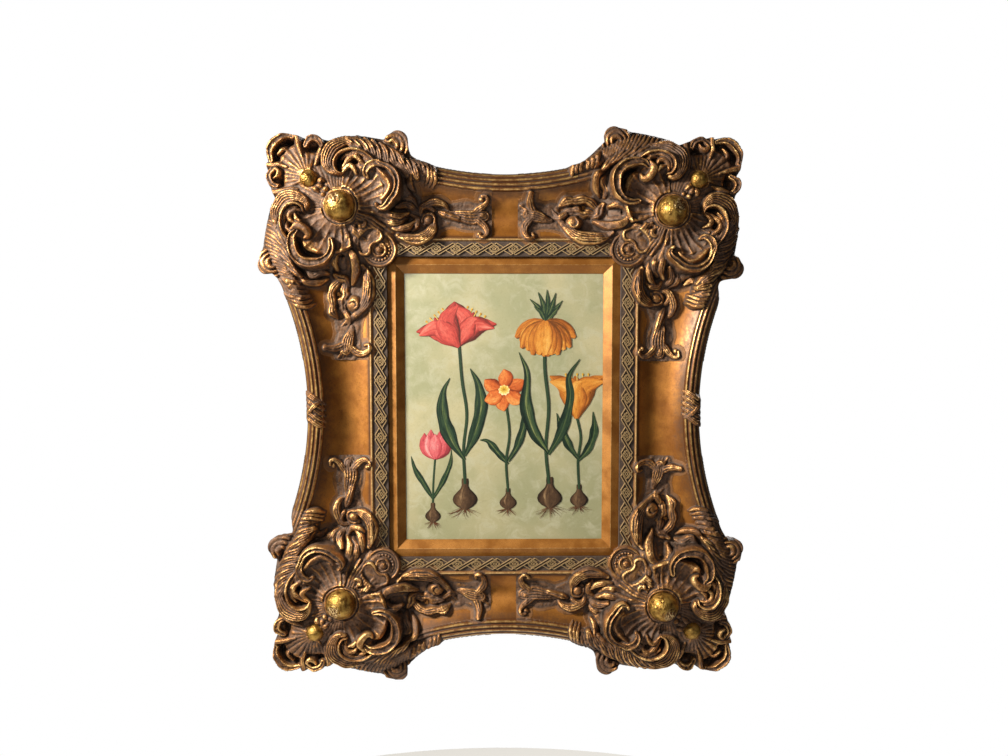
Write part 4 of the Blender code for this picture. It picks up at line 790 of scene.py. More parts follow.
def rosette(name, k, finish):
    """The round flower at the inner corner: rim, groove, a ring of beads, an inner ring and a round heart."""
    radii = np.array([0.05, 0.8, 1.6, 2.4, 3.2, 4, 4.8, 5.4, 6, 6.8, 7.6, 8.4, 9.2, 10, 10.8, 11.6, 12.4,
                      13.1, 13.8, 14.5, 15.2, 15.9, 16.6, 17.3, 18, 18.8, 19.6, 20.4, 21.2, 22, 22.8, 23.5,
                      24.2, 24.8, 25])
    section = np.interp(
        radii, [0, 2, 4, 5.4, 6.8, 8.2, 9.4, 10.6, 12, 17.6, 19, 20.5, 22, 23.4, 24.6, 25],
        [62, 61.4, 59.6, 55.6, 55.4, 57.6, 58.2, 57.4, 54.4, 54.0, 54.6, 54.0, 55.4, 56.2, 55, 52])
    beads, ring, size = 20, 15.0, 1.9

    def shaped(r, a):
        h = np.broadcast_to(section[:, None], r.shape).copy()
        nearest_bead = (a * beads / (2 * np.pi) + 0.5) % 1 - 0.5
        off = np.hypot(r - ring, nearest_bead * 2 * np.pi / beads * ring)
        h = np.maximum(h, np.where(off < size, 54.2 + np.sqrt(np.maximum(size ** 2 - off ** 2, 0)), 0))
        petals = 0.5 + 0.5 * np.cos(8 * a)
        return (h + 0.7 * petals * np.exp(-((r - 9.6) / 1.6) ** 2)
                + 0.8 * petals * np.exp(-((r - 3.4) / 1.3) ** 2))

    return round_piece(name, k, ROSETTE, radii, shaped, finish, 200)


# ---- sides ---------------------------------------------------------------------------------------

def side_ends(k):
    """Where side k's rail starts and stops, from its middle."""
    return RAIL_START - arms(k)[0], arms((k + 1) % 4)[1] - RAIL_START


def run_points(low, high, step):
    """Evenly spaced places along a side, about one step apart."""
    return np.linspace(low, high, max(2, int(round((high - low) / step)) + 1))


def between_rosettes(k, gap):
    """Where a line of side k's flat band starts and stops, with a gap from each rosette's heart."""
    return ROSETTE[0] + gap - arms(k)[0], arms((k + 1) % 4)[1] + ROSETTE[1] - gap


def covered(k, run, s):
    """How far side k's moulding is replaced by the corners at its ends, from 0 to 1."""
    after = run + arms(k)[0], s - BOSS_TOP
    before = BOSS_SIDE - s, run - arms((k + 1) % 4)[1]
    return np.maximum(under_corner(*after), under_corner(*before))


def rail(name, k, finish):
    """The reeded outer rail with the frame's side wall under it."""
    low, high = side_ends(k)
    run = run_points(low - 1, high + 1, 3.5)
    r, a = np.meshgrid(np.linspace(0, 1, 57), run, indexing="ij")
    out = RAIL_OUT + sweep(a)
    s, h = out - RAIL_WIDTH * (1 - r), rail_height(r)
    fine = 1.6 * (reed(r) - 0.55)
    row = np.zeros((1, len(run)))
    s = np.concatenate([s[:1], s] + [out[:1] - inset for _, inset in WALL_RINGS])
    h = np.concatenate([h[:1] - 6, h] + [row + level for level, _ in WALL_RINGS])
    fine = np.concatenate([row - 1, fine] + [row - 0.4 for _ in WALL_RINGS])
    wall = np.concatenate([row, r * 0] + [row + 1 for _ in WALL_RINGS])
    x, z = from_side(k, np.broadcast_to(run, s.shape), s)
    return frame_piece(name, x, z, h, grid_faces(*s.shape), finish, fine=fine.ravel(), wall=wall.ravel())


def cove(name, k, finish):
    """The scooped cove between fillet and rail, running on under the corners."""
    low, high = -arms(k)[0] + 15, arms((k + 1) % 4)[1] - 15
    run = run_points(low, high, 2.0)
    t, a = np.meshgrid(np.linspace(0, 1, 30), run, indexing="ij")
    rail_in = RAIL_OUT - RAIL_WIDTH + sweep(a)
    s = FILLET_OUT + (rail_in + 0.4 - FILLET_OUT) * t
    shade = covered(k, a, s)
    x, z = from_side(k, a, s)
    h = cove_height(t) - 0.5 * (shade > 0.02)
    faces = grid_faces(*s.shape, keep=touched(shade < 0.03))
    points, faces, across = compacted(placed(x, z, h), faces, t.ravel())
    return piece(name, points, faces, finish, "frame", "gilt_frame", across=across)


def fillet(name, k, finish):
    """The thin half-round between the lattice band and the cove."""
    run = run_points(*between_rosettes(k, 6), 8.0)
    q, a = np.meshgrid(np.linspace(-1, 1, 11), run, indexing="ij")
    s = (BAND_OUT + FILLET_OUT) / 2 + q * (FILLET_OUT - BAND_OUT) / 2
    h = BAND_HEIGHT - 1.5 + (FILLET_HEIGHT - BAND_HEIGHT + 1.5) * np.sqrt(1 - q * q)
    x, z = from_side(k, a, s)
    return frame_piece(name, x, z, h, grid_faces(*s.shape), finish, fine=(0.6 - np.abs(q)).ravel())


def band(name, k, finish):
    """The flat lattice band, its inner lip and the rebate wall behind."""
    run = run_points(*between_rosettes(k, 6), 8.0)
    section = [(BAND_IN + 1, REBATE_HEIGHT), (BAND_IN + 1, LIP_HEIGHT), (BAND_IN, LIP_HEIGHT),
               (BAND_IN, BAND_HEIGHT - 0.5), (BAND_IN + 0.6, BAND_HEIGHT)]
    section += [(s, BAND_HEIGHT) for s in np.linspace(BAND_IN + 3, BAND_OUT, 8)]
    s, h = (np.repeat(column, len(run)).reshape(-1, len(run)) for column in np.transpose(section))
    x, z = from_side(k, np.broadcast_to(run, s.shape), s)
    return frame_piece(name, x, z, h, grid_faces(*s.shape), finish, smoothed=False,
                       fine=np.full(s.size, -0.4))


LATTICE_PITCH, LATTICE_HALF, LINE_GAP, LINE_HALF, LINE_RISE = 28.0, 8.4, 3.6, 1.0, 2.6
UNDER_GAP = (0.36, 0.64)  # where a ribbon of the lattice is hidden under the other
LINE_SECTION = ((-1, -0.3), (-0.35, 0.85 * LINE_RISE), (0.35, 0.85 * LINE_RISE), (1, -0.3))


def lattice_lines(low, high):
    """The lines of the plaited band: two ribbons of two lines that cross between nested lozenges."""
    lines = []
    slant = LINE_GAP * math.hypot(LATTICE_PITCH, 2 * LATTICE_HALF) / (2 * LATTICE_HALF)
    count = int((high - low) / LATTICE_PITCH)
    first = (low + high - count * LATTICE_PITCH) / 2
    for n in range(-1, count + 1):
        start = first + n * LATTICE_PITCH
        for flip in (1, -1):
            rise = flip * (1 if n % 2 == 0 else -1)
            for lane in (-0.5, 0.5):
                a = start + lane * slant
                for ends in ((0.0, 1.0),) if rise > 0 else ((0.0, UNDER_GAP[0]), (UNDER_GAP[1], 1.0)):
                    lines.append([(a + LATTICE_PITCH * t, LATTICE_HALF * rise * (2 * t - 1)) for t in ends])
        for size in (0.22, 0.54):
            long, wide = size * LATTICE_PITCH / 2, size * LATTICE_HALF
            corners = [(start - long, 0), (start, wide), (start + long, 0), (start, -wide)]
            lines += list(zip(corners, corners[1:] + corners[:1]))
    return lines


def lattice(name, k, finish):
    """The raised lines of the lattice band, each a low ridge."""
    low, high = between_rosettes(k, 12)
    middle = (BAND_IN + BAND_OUT) / 2
    points, faces, fine = [], [], []
    for ends in lattice_lines(low, high):
        if max(a for a, q in ends) > high or min(a for a, q in ends) < low:
            continue
        way = np.subtract(ends[1], ends[0])
        off = np.array([-way[1], way[0]]) / math.hypot(*way) * LINE_HALF
        n = len(points)
        for a, q in ends:
            for side, rise in LINE_SECTION:
                points.append((a - side * off[0], middle + q - side * off[1], BAND_HEIGHT + rise))
                fine.append(1.2 if rise > 0 else -0.6)
        faces += [(n + i, n + 4 + i, n + 5 + i, n + 1 + i) for i in range(3)]
    a, s, h = np.array(points).T
    x, z = from_side(k, a, s)
    return frame_piece(name, x, z, h, np.array(faces)[:, ::-1], finish, smoothed=False, fine=np.array(fine))


def knot(name, k, finish):
    """The ribbon wrapped round the rail at the middle of a long side."""
    a, s = np.meshgrid(np.arange(-27, 27.1, KNOT_GRID), np.arange(-29, 0.1, KNOT_GRID))
    out = RAIL_OUT + sweep(a)
    base = moulding(out + s, out, 1.0)
    f = Relief(a.ravel(), s.ravel(), base.ravel() - 0.8)
    for shift in (-17, -8.5, 0, 8.5, 17):
        path = curve((shift - 10, -28), (shift - 6, -20), (shift, -12), (shift + 5, -5), (shift + 9, 0))
        f.stroke(path, [2, 4.4, 4.8, 4.6, 3.4], [56, 65, 68, 66, 54], crown=0.75, ribs=3, rib=1.1, tilt=0.15)
    f.leaf([2, 3.4, 3.8, 2], [60, 69, 70.5, 62], (-12, -3), (-4, -6), (6, -14), (13, -23), crown=0.7, ribs=2,
           rib=0.9)
    h = f.z.reshape(a.shape)
    lift = h - base
    fine, broad = carved_detail(h, KNOT_GRID, np.ones(a.shape, bool))
    x, z = from_side(k, a, out + s)
    points, faces, lift, fine, broad = compacted(
        placed(x, z, h), grid_faces(*a.shape, keep=touched(lift > -0.3)), lift.ravel(), fine.ravel(),
        broad.ravel())
    return piece(name, points, faces, finish, "frame", "gilt_frame", lift=lift + 4, fine=fine, broad=broad)


def back_outline():
    """The outline of the flat back, all the way round."""
    loop = []
    for k in range(4):
        line = corner_outline(k)
        ahead = np.roll(line, -1, 0) - np.roll(line, 1, 0)
        ahead[0], ahead[-1] = line[1] - line[0], line[-1] - line[-2]
        inwards = np.stack([ahead[:, 1], -ahead[:, 0]], 1) / np.hypot(*ahead.T)[:, None]
        loop.append(np.stack(from_casting(k, *(line + inwards * WALL_RINGS[-1][1])[::2].T), 1))
    outer = np.concatenate(loop)
    return outer[np.hypot(*(outer - np.roll(outer, 1, 0)).T) > 0.4]


def back(name, finish):
    """The flat back with its hanger recess, and the rebate walls that hold the liner."""
    hole, rise = HALF + REBATE, -CENTRE.z / MM
    rebate = hole * [(-1, -1), (1, -1), (1, 1), (-1, 1)]
    high, low = rise + RECESS_WIDTH / 2, rise - RECESS_WIDTH / 2
    tab_low = rise + (-RECESS_WIDTH / 2 - RECESS_TAB[1])
    half, tab = RECESS_LENGTH / 2, RECESS_TAB[0] / 2
    recess = np.array([(-half, high), (-half, low), (-tab, low), (-tab, tab_low), (tab, tab_low), (tab, low),
                       (half, low), (half, high)])
    loops = (back_outline(), rebate, recess)
    edges, first = [], 0
    for ring in loops:
        edges += [(first + i, first + (i + 1) % len(ring)) for i in range(len(ring))]
        first += len(ring)
    found = delaunay_2d_cdt([Vector(p) for p in np.concatenate(loops)], edges, [], 0, 1e-6)
    flat, faces = np.array([tuple(v) for v in found[0]]), np.array(found[2])
    inside = [encloses(ring, flat[faces].mean(1)) for ring in loops]
    points = [(x, z, 0.0) for x, z in flat]
    sides = [tuple(f) for f in faces[inside[0] & ~inside[1] & ~inside[2]][:, ::-1]]
    for ring, depth in ((rebate, REBATE_HEIGHT), (recess, RECESS_DEPTH)):
        n, first = len(ring), len(points)
        points += [(x, z, h) for h in (0.0, depth) for x, z in ring]
        sides += [(first + i, first + i + n, first + (i + 1) % n + n, first + (i + 1) % n) for i in range(n)]
    sides.append(tuple(first + n + i for i in reversed(range(n))))
    return frame_piece(name, *np.array(points).T, sides, finish, smoothed=False)


# ---- liner and painting --------------------------------------------------------------------------

def liner(name, k, finish):
    """One member of the gilt slip, mitred at both ends."""
    gap = 0.15
    ridge, front, rear = LINER_RIDGE_HEIGHT, PANEL_FRONT + 0.3, REBATE_HEIGHT - 0.3
    section = [
        (0, front, 0), (0, LINER_SIGHT_HEIGHT - 0.5, 0), (0.4, LINER_SIGHT_HEIGHT, 0.5),
        (1.6, LINER_SIGHT_HEIGHT + 0.9, 0), (LINER_RIDGE - 1.6, ridge - 0.9, 0),
        (LINER_RIDGE - 0.7, ridge - 0.25, 0.6), (LINER_RIDGE, ridge, 1),
        (LINER_RIDGE + 0.9, ridge - 0.3, 0.4), (BAND_IN - 0.4, LINER_EDGE_HEIGHT + 0.5, 0),
        (BAND_IN + 0.7, LINER_EDGE_HEIGHT, 0),
        (BAND_IN + 0.7, rear, 0), (REBATE - 0.3, rear, 0),
        (REBATE - 0.3, LINER_BACK, 0), (PANEL_MARGIN + 0.3, LINER_BACK, 0), (PANEL_MARGIN + 0.3, front, 0),
    ]
    s, h, fine = np.array([section] * 40).transpose(2, 0, 1)
    a = np.linspace(-1, 1, len(s))[:, None] * (HALF[k % 2] + s - gap)
    rings = np.arange(s.size).reshape(s.shape)
    onward = np.roll(rings, -1, 1)
    faces = np.stack([rings[:-1], rings[1:], onward[1:], onward[:-1]], -1).reshape(-1, 4).tolist()
    faces += [rings[0].tolist(), rings[-1][::-1].tolist()]
    x, z = from_side(k, a, s)
    return piece(name, placed(x, z, h), faces, finish, "liner", "gilt_liner", smoothed=False,
                 fine=fine.ravel())


PAINT_SKIN = 1.2  # thickness of the panel's painted layer, with the bare board behind it
PAINT_SUNK, PAINT_STEP = 0.05, 0.0022  # where the painted patches start under the front, and the rise of each


def panel(name, finish):
    """The painted face: gently wavy, with a thin edge and a flat underside."""
    half = HALF + PANEL_MARGIN
    x, z = np.meshgrid(np.linspace(-half[0], half[0], 60), np.linspace(-half[1], half[1], 80))
    wave = 0.12 * np.sin(x / 31 + 1.3) * np.sin(z / 43) + 0.08 * np.sin(x / 17 + z / 23)
    front = placed(x, z, PANEL_FRONT - 0.3 + wave)
    n = len(front)
    index = np.arange(n).reshape(x.shape)
    ring = np.concatenate([index[0, :-1], index[:-1, -1], index[-1, :0:-1], index[:0:-1, 0]]).tolist()
    behind = front[ring]
    behind[:, 1] = -(PANEL_FRONT - PAINT_SKIN) * MM
    m = len(ring)
    faces = grid_faces(*x.shape).tolist()
    faces += [(ring[i], n + i, n + (i + 1) % m, ring[(i + 1) % m]) for i in range(m)]
    faces.append([n + i for i in reversed(range(m))])
    return piece(name, np.concatenate([front, behind]), faces, finish, "painting", "oil_paint")


def board(name, finish):
    """The bare board behind the paint."""
    half = HALF + PANEL_MARGIN
    ends = [(x * half[0], z * half[1], h) for h in (PANEL_FRONT - PAINT_SKIN, PANEL_BACK)
            for z in (-1, 1) for x in (-1, 1)]
    faces = [(0, 1, 3, 2), (4, 6, 7, 5), (0, 4, 5, 1), (2, 3, 7, 6), (0, 2, 6, 4), (1, 5, 7, 3)]
    return piece(name, placed(*np.array(ends).T), faces, finish, "painting", "oil_paint", smoothed=False)


RED = ((0.10, 0.02, 0.015), (0.36, 0.035, 0.03), (0.60, 0.075, 0.06), (0.74, 0.17, 0.13), (0.85, 0.38, 0.30))
ORANGE = ((0.16, 0.05, 0.01), (0.46, 0.13, 0.02), (0.72, 0.27, 0.04), (0.86, 0.44, 0.10), (0.93, 0.68, 0.30))
VERMILION = ((0.18, 0.03, 0.01), (0.50, 0.09, 0.02), (0.72, 0.17, 0.04), (0.84, 0.33, 0.09),
             (0.90, 0.56, 0.20))
PINK = ((0.22, 0.03, 0.04), (0.50, 0.06, 0.08), (0.68, 0.13, 0.15), (0.78, 0.28, 0.29), (0.88, 0.55, 0.52))
GREEN = ((0.005, 0.013, 0.009), (0.014, 0.034, 0.021), (0.034, 0.068, 0.034), (0.12, 0.165, 0.055),
         (0.32, 0.34, 0.14))
BROWN = ((0.010, 0.006, 0.004), (0.038, 0.021, 0.012), (0.085, 0.047, 0.026), (0.21, 0.125, 0.066),
         (0.42, 0.29, 0.16))
ROOT = ((0.070, 0.026, 0.014), (0.15, 0.065, 0.032), (0.26, 0.14, 0.075))
YELLOW = ((0.30, 0.12, 0.01), (0.62, 0.32, 0.03), (0.85, 0.55, 0.08), (0.93, 0.74, 0.25), (0.96, 0.86, 0.50))


def toned(palette, value):
    """Colours from dark (0) to light (1)."""
    stops = np.linspace(0, 1, len(palette))
    return np.stack([np.interp(value, stops, [c[i] for c in palette]) for i in range(3)], -1)


def rooted(x, z, heading):
    """A bloom's foot, the way it faces and the way to its left."""
    ahead = np.array([np.cos(np.radians(heading)), np.sin(np.radians(heading))])
    return np.array([x, z]), ahead, np.array([-ahead[1], ahead[0]])


class Canvas:
    """Painted shapes as thin coloured patches laid over each other on the panel."""

    def __init__(self):
        self.points, self.faces, self.colours = [], [], []
        self.count, self.level = 0, 0
        self.random = np.random.default_rng(SEED)

    def blade(self, spine, half, palette, light=0.5, edge=0.25, streaks=0.32, fold=0.0, ripple=0.0, rows=26,
              columns=13, base=0.0):
        """A petal, leaf, stem or bulb about a spine, with half its width along it; fold darkens one half."""
        t = np.linspace(0, 1, rows)
        line = along(spine, t)
        ahead = np.gradient(line, axis=0)
        ahead /= np.maximum(np.hypot(*ahead.T)[:, None], 1e-9)
        off = np.stack([-ahead[:, 1], ahead[:, 0]], 1)
        q = np.linspace(-1, 1, columns)
        width = np.interp(t, np.linspace(0, 1, len(half)), half)
        width = width * (1 + ripple * np.sin(t * 17 + self.random.uniform(0, 6)))
        grid = line[:, None] + off[:, None] * (width[:, None] * q)[..., None]
        across = np.cumsum(self.random.normal(0, 1, columns))
        across = (across - across.mean()) / (np.abs(across).max() + 1e-6)
        strokes = self.random.normal(0, 0.5, (rows // 3 + 2, columns))
        places, known = t * (len(strokes) - 1), np.arange(len(strokes))
        strokes = np.stack([np.interp(places, known, column) for column in strokes.T], 1)
        value = light + streaks * (0.6 * across + 0.55 * strokes) - 0.16 * q * np.sign(off[:, :1] + 1e-9)
        value = value - edge * np.abs(q) ** 4 - base * (1 - t[:, None]) ** 3
        if fold:
            value = np.where(q > 0, value - fold, value + 0.3 * fold) + 1.1 * fold * np.exp(-(q / 0.12) ** 2)
        self.add(grid.reshape(-1, 2), grid_faces(rows, columns)[:, ::-1],
                 toned(palette, np.clip(value, 0, 1)))

    def add(self, points, faces, colours):
        """Lay a coloured patch over all the earlier ones."""
        self.level += 1
        height = PANEL_FRONT - PAINT_SUNK + PAINT_STEP * self.level
        self.points.append(np.column_stack([points, np.full(len(points), height)]))
        self.faces.append(faces + self.count)
        self.colours.append(np.asarray(colours).reshape(-1, 3))
        self.count += len(points)

    def stem(self, half, *points):
        """A round green stem through a few points."""
        self.blade(curve(*points), [half, half], GREEN, 0.45, edge=0.35, streaks=0.12, rows=30, columns=7)

    def leaf(self, half, *points, light=0.42):
        """A long leaf with a pale midrib, one half darker, and streaks that run to its tip."""
        self.blade(curve(*points), half, GREEN, light, edge=0.25, streaks=0.42, fold=0.22, ripple=0.10,
                   rows=44, columns=21)

    def roots(self, x, z, size):
        """Fine roots that fan out under a bulb."""
        for _ in range(30):
            a = np.radians(self.random.uniform(192, 348))
            reach = size * self.random.uniform(0.5, 1.35)
            bend = self.random.normal(0, 0.25, 2) * size * 0.5
            end = np.array([x + reach * np.cos(a) * 1.15, z + reach * np.sin(a) * 0.85])
            line = curve((x + reach * 0.15 * np.cos(a), z), (np.array([x, z]) + end) / 2 + bend * 0.5, end)
            self.blade(line, [0.34, 0.26, 0.12], ROOT, self.random.uniform(0.0, 0.6), edge=0, rows=10,
                       columns=3)

    def bulb(self, x, z, size):
        """A papery brown bulb whose neck runs up into the stem."""
        self.roots(x, z - size * 0.86, size)
        line = curve((x, z - size), (x, z), (x, z + size * 1.5))
        half = size * np.array([0.12, 0.62, 0.9, 0.98, 0.9, 0.66, 0.38, 0.26, 0.28, 0.252])
        self.blade(line, half, BROWN, 0.50, edge=0.50, streaks=0.22, rows=36, columns=17)
        shine = curve((x - size * 0.3, z - size * 0.4), (x - size * 0.34, z + size * 0.1),
                      (x - size * 0.12, z + size * 0.8))
        self.blade(shine, size * np.array([0.02, 0.16, 0.12, 0.02]), BROWN, 0.70, rows=14, columns=7)

    def trumpet(self, x, z, heading, size, palette):
        """A lily's bloom from the side: three petals behind, three in front, curled back at their tips."""
        foot, ahead, side = rooted(x, z, heading)

        def petal(reach, bow, tipped, width, light):
            """A petal that bows to one side, with its tip turned on from there."""
            line = curve(foot, foot + size * (0.45 * ahead + bow * 0.5 * side),
                         foot + size * (0.85 * ahead + bow * side),
                         foot + size * (reach * ahead + (bow + tipped) * side))
            self.blade(line, size * width * np.array([0.22, 0.5, 0.85, 1, 0.92, 0.6, 0.08]), palette, light,
                       edge=0.42, streaks=0.3, ripple=0.03, rows=30, columns=15, base=0.25)

        for bow, tipped, light in ((0.30, 0.42, 0.36), (-0.30, -0.42, 0.30), (0.0, 0.06, 0.26)):
            petal(1.12, bow, tipped, 0.25, light)
        for n in range(5):
            bend = 0.10 * (n - 2)
            line = curve(foot + 0.5 * size * ahead, foot + size * (0.8 * ahead + bend * side),
                         foot + size * (1.14 * ahead + 1.5 * bend * side))
            self.blade(line, [0.7, 0.6, 0.6], YELLOW, 0.6, rows=8, columns=3)
            self.blade(np.array([line[-1], line[-1] + 3.2 * ahead]), [1.2, 1.5, 0.9], YELLOW, 0.3, rows=5,
                       columns=5)
        for bow, tipped, light in ((0.20, 0.52, 0.62), (-0.20, -0.52, 0.5), (0.0, -0.12, 0.58)):
            petal(0.98, bow, tipped, 0.25 if bow else 0.27, light)

    def star(self, x, z, size, palette, heart, turn=0.0):
        """A daffodil seen from the front: six petals about a frilled crown."""
        for ring in (0, 1):
            for n in range(3):
                a = np.radians(120 * n + 60 * ring + turn)
                way = np.array([np.cos(a), 0.94 * np.sin(a)])
                bend = 0.08 * np.array([-way[1], way[0]]) * (1 if n % 2 else -1)
                foot = np.array([x, z])
                line = curve(foot + 0.12 * size * way, foot + size * (0.6 * way + bend), foot + size * way)
                light = 0.48 + 0.12 * ring - 0.06 * np.sin(a)
                self.blade(line, size * np.array([0.14, 0.26, 0.33, 0.33, 0.24, 0.03]), palette, light,
                           edge=0.38, streaks=0.3, rows=24, columns=13, base=0.35)
        angle = np.linspace(0, 2 * np.pi, 48, endpoint=False)
        radius = size * np.array([0.02, 0.09, 0.15, 0.2, 0.245])
        r, a = np.meshgrid(radius, angle, indexing="ij")
        frill = 1 + 0.09 * np.sin(9 * a) * (r / radius[-1]) ** 2
        value = 0.15 + 0.75 * (r / radius[-1]) ** 1.2 + 0.12 * np.sin(9 * a + 1) - 0.15 * np.sin(a)
        spots = np.stack([x + r * frill * np.cos(a), z + 0.92 * r * frill * np.sin(a)], -1).reshape(-1, 2)
        self.add(spots, grid_faces(*r.shape, closed=True)[:, ::-1],
                 toned(heart, np.clip(value.ravel(), 0, 1)))

    def goblet(self, x, z, size, palette):
        """A crocus bloom: slim pointed petals that stand up from one foot."""
        foot = np.array([x, z])
        petals = ((-0.40, 0.92, 0.34, 0.2), (0.42, 0.90, 0.3, 0.2), (-0.16, 1.04, 0.44, 0.21),
                  (0.2, 1.02, 0.4, 0.21), (-0.27, 0.86, 0.6, 0.2), (0.26, 0.84, 0.54, 0.2),
                  (0.0, 0.88, 0.62, 0.24))
        for reach, height, light, width in petals:
            tip = foot + size * np.array([0.95 * reach, height])
            line = curve(foot, foot + size * np.array([0.85 * reach, 0.42 * height]), tip)
            self.blade(line, size * width * np.array([0.25, 0.75, 1, 0.98, 0.7, 0.05]), palette, light,
                       edge=0.4, streaks=0.26, rows=26, columns=13, base=0.2)

    def bell(self, x, z, heading, size, palette):
        """A hanging bell of a crown imperial."""
        foot, ahead, side = rooted(x, z, heading)
        for bow, light in ((0.30, 0.36), (-0.30, 0.30), (0.14, 0.56), (-0.14, 0.5), (0.0, 0.64)):
            line = curve(foot, foot + size * (0.5 * ahead + bow * 0.9 * side),
                         foot + size * (ahead + bow * 1.25 * side))
            self.blade(line, size * np.array([0.08, 0.19, 0.23, 0.22, 0.17, 0.05]), palette, light,
                       edge=0.4, streaks=0.28, rows=24, columns=11, base=0.2)


def amaryllis(c):
    """Two red trumpets back to back, over broad leaves."""
    c.bulb(-58, -134, 19)
    c.leaf([2, 7, 10, 9, 6, 0.5], (-58, -72), (-44, -40), (-34, 0), (-38, 34), (-50, 58))
    c.stem(2.3, (-58, -114), (-60, -60), (-55, -10), (-62, 40), (-66, 92))
    c.leaf([2, 7, 11, 9, 5, 0.5], (-58, -78), (-76, -52), (-90, -14), (-90, 22), (-80, 44))
    c.trumpet(-67, 92, 62, 48, RED)
    c.trumpet(-66, 90, 128, 50, RED)


def crown_imperial(c):
    """Orange bells that hang under a tuft of leaves."""
    c.bulb(68, -132, 19)
    c.leaf([2, 7, 8, 6, 4, 0.5], (66, -70), (86, -34), (98, 14), (96, 46), (112, 72))
    c.stem(2.4, (67, -114), (62, -60), (66, 0), (60, 60), (61, 126))
    c.leaf([2, 8, 10, 7, 4, 0.5], (65, -66), (44, -36), (32, 6), (34, 50), (22, 82))
    for x, z in ((38, 160), (50, 170), (63, 174), (76, 169), (86, 158), (44, 149), (80, 148)):
        c.leaf([1.5, 3.4, 3.2, 0.4], (61, 126), ((61 + x) / 2 + 2, (132 + z) / 2), (x, z), light=0.5)
    for heading, x, z, size in ((232, 57, 128, 44), (308, 65, 128, 44), (250, 58, 126, 47),
                                (292, 64, 126, 47), (270, 61, 128, 50)):
        c.bell(x, z, heading, size, ORANGE)


def daffodil(c):
    """One vermilion star with a yellow crown."""
    c.bulb(6, -140, 13)
    c.leaf([2, 5, 5, 0.5], (6, -84), (-10, -66), (-24, -50), (-36, -48))
    c.stem(1.8, (6, -126), (3, -80), (8, -40), (4, 0), (2, 22))
    c.leaf([2, 5.5, 6, 0.5], (6, -80), (20, -56), (30, -22), (28, 4))
    c.star(0, 26, 33, VERMILION, YELLOW, turn=30)


def lily(c):
    """One upright orange trumpet."""
    c.bulb(112, -136, 14)
    c.leaf([2, 6, 6, 0.5], (110, -80), (126, -60), (134, -34), (132, -6))
    c.stem(1.9, (112, -122), (110, -80), (114, -44), (108, -14))
    c.leaf([2, 6, 6, 0.5], (110, -76), (96, -56), (84, -28), (78, -8))
    c.trumpet(108, -16, 90, 56, ORANGE)


def crocus(c):
    """One pink goblet among thin leaves."""
    c.bulb(-106, -160, 12)
    c.leaf([1.5, 4, 3.6, 0.4], (-106, -136), (-92, -112), (-80, -84), (-78, -62))
    c.leaf([1.5, 4.4, 4, 0.4], (-106, -136), (-120, -112), (-132, -92), (-138, -72))
    c.stem(1.5, (-106, -142), (-105, -110), (-102, -72))
    c.goblet(-102, -76, 42, PINK)


def bouquet(name, finish):
    """Five bulb plants in a row, each painted from its bulb up."""
    c = Canvas()
    for plant in (crocus, amaryllis, daffodil, lily, crown_imperial):
        plant(c)
    colours = np.concatenate(c.colours)
    return piece(name, placed(*np.concatenate(c.points).T), np.concatenate(c.faces), finish, "painting",
                 "oil_paint", smoothed=False, paint=np.column_stack([colours, np.ones(len(colours))]))


# ---- materials -----------------------------------------------------------------------------------

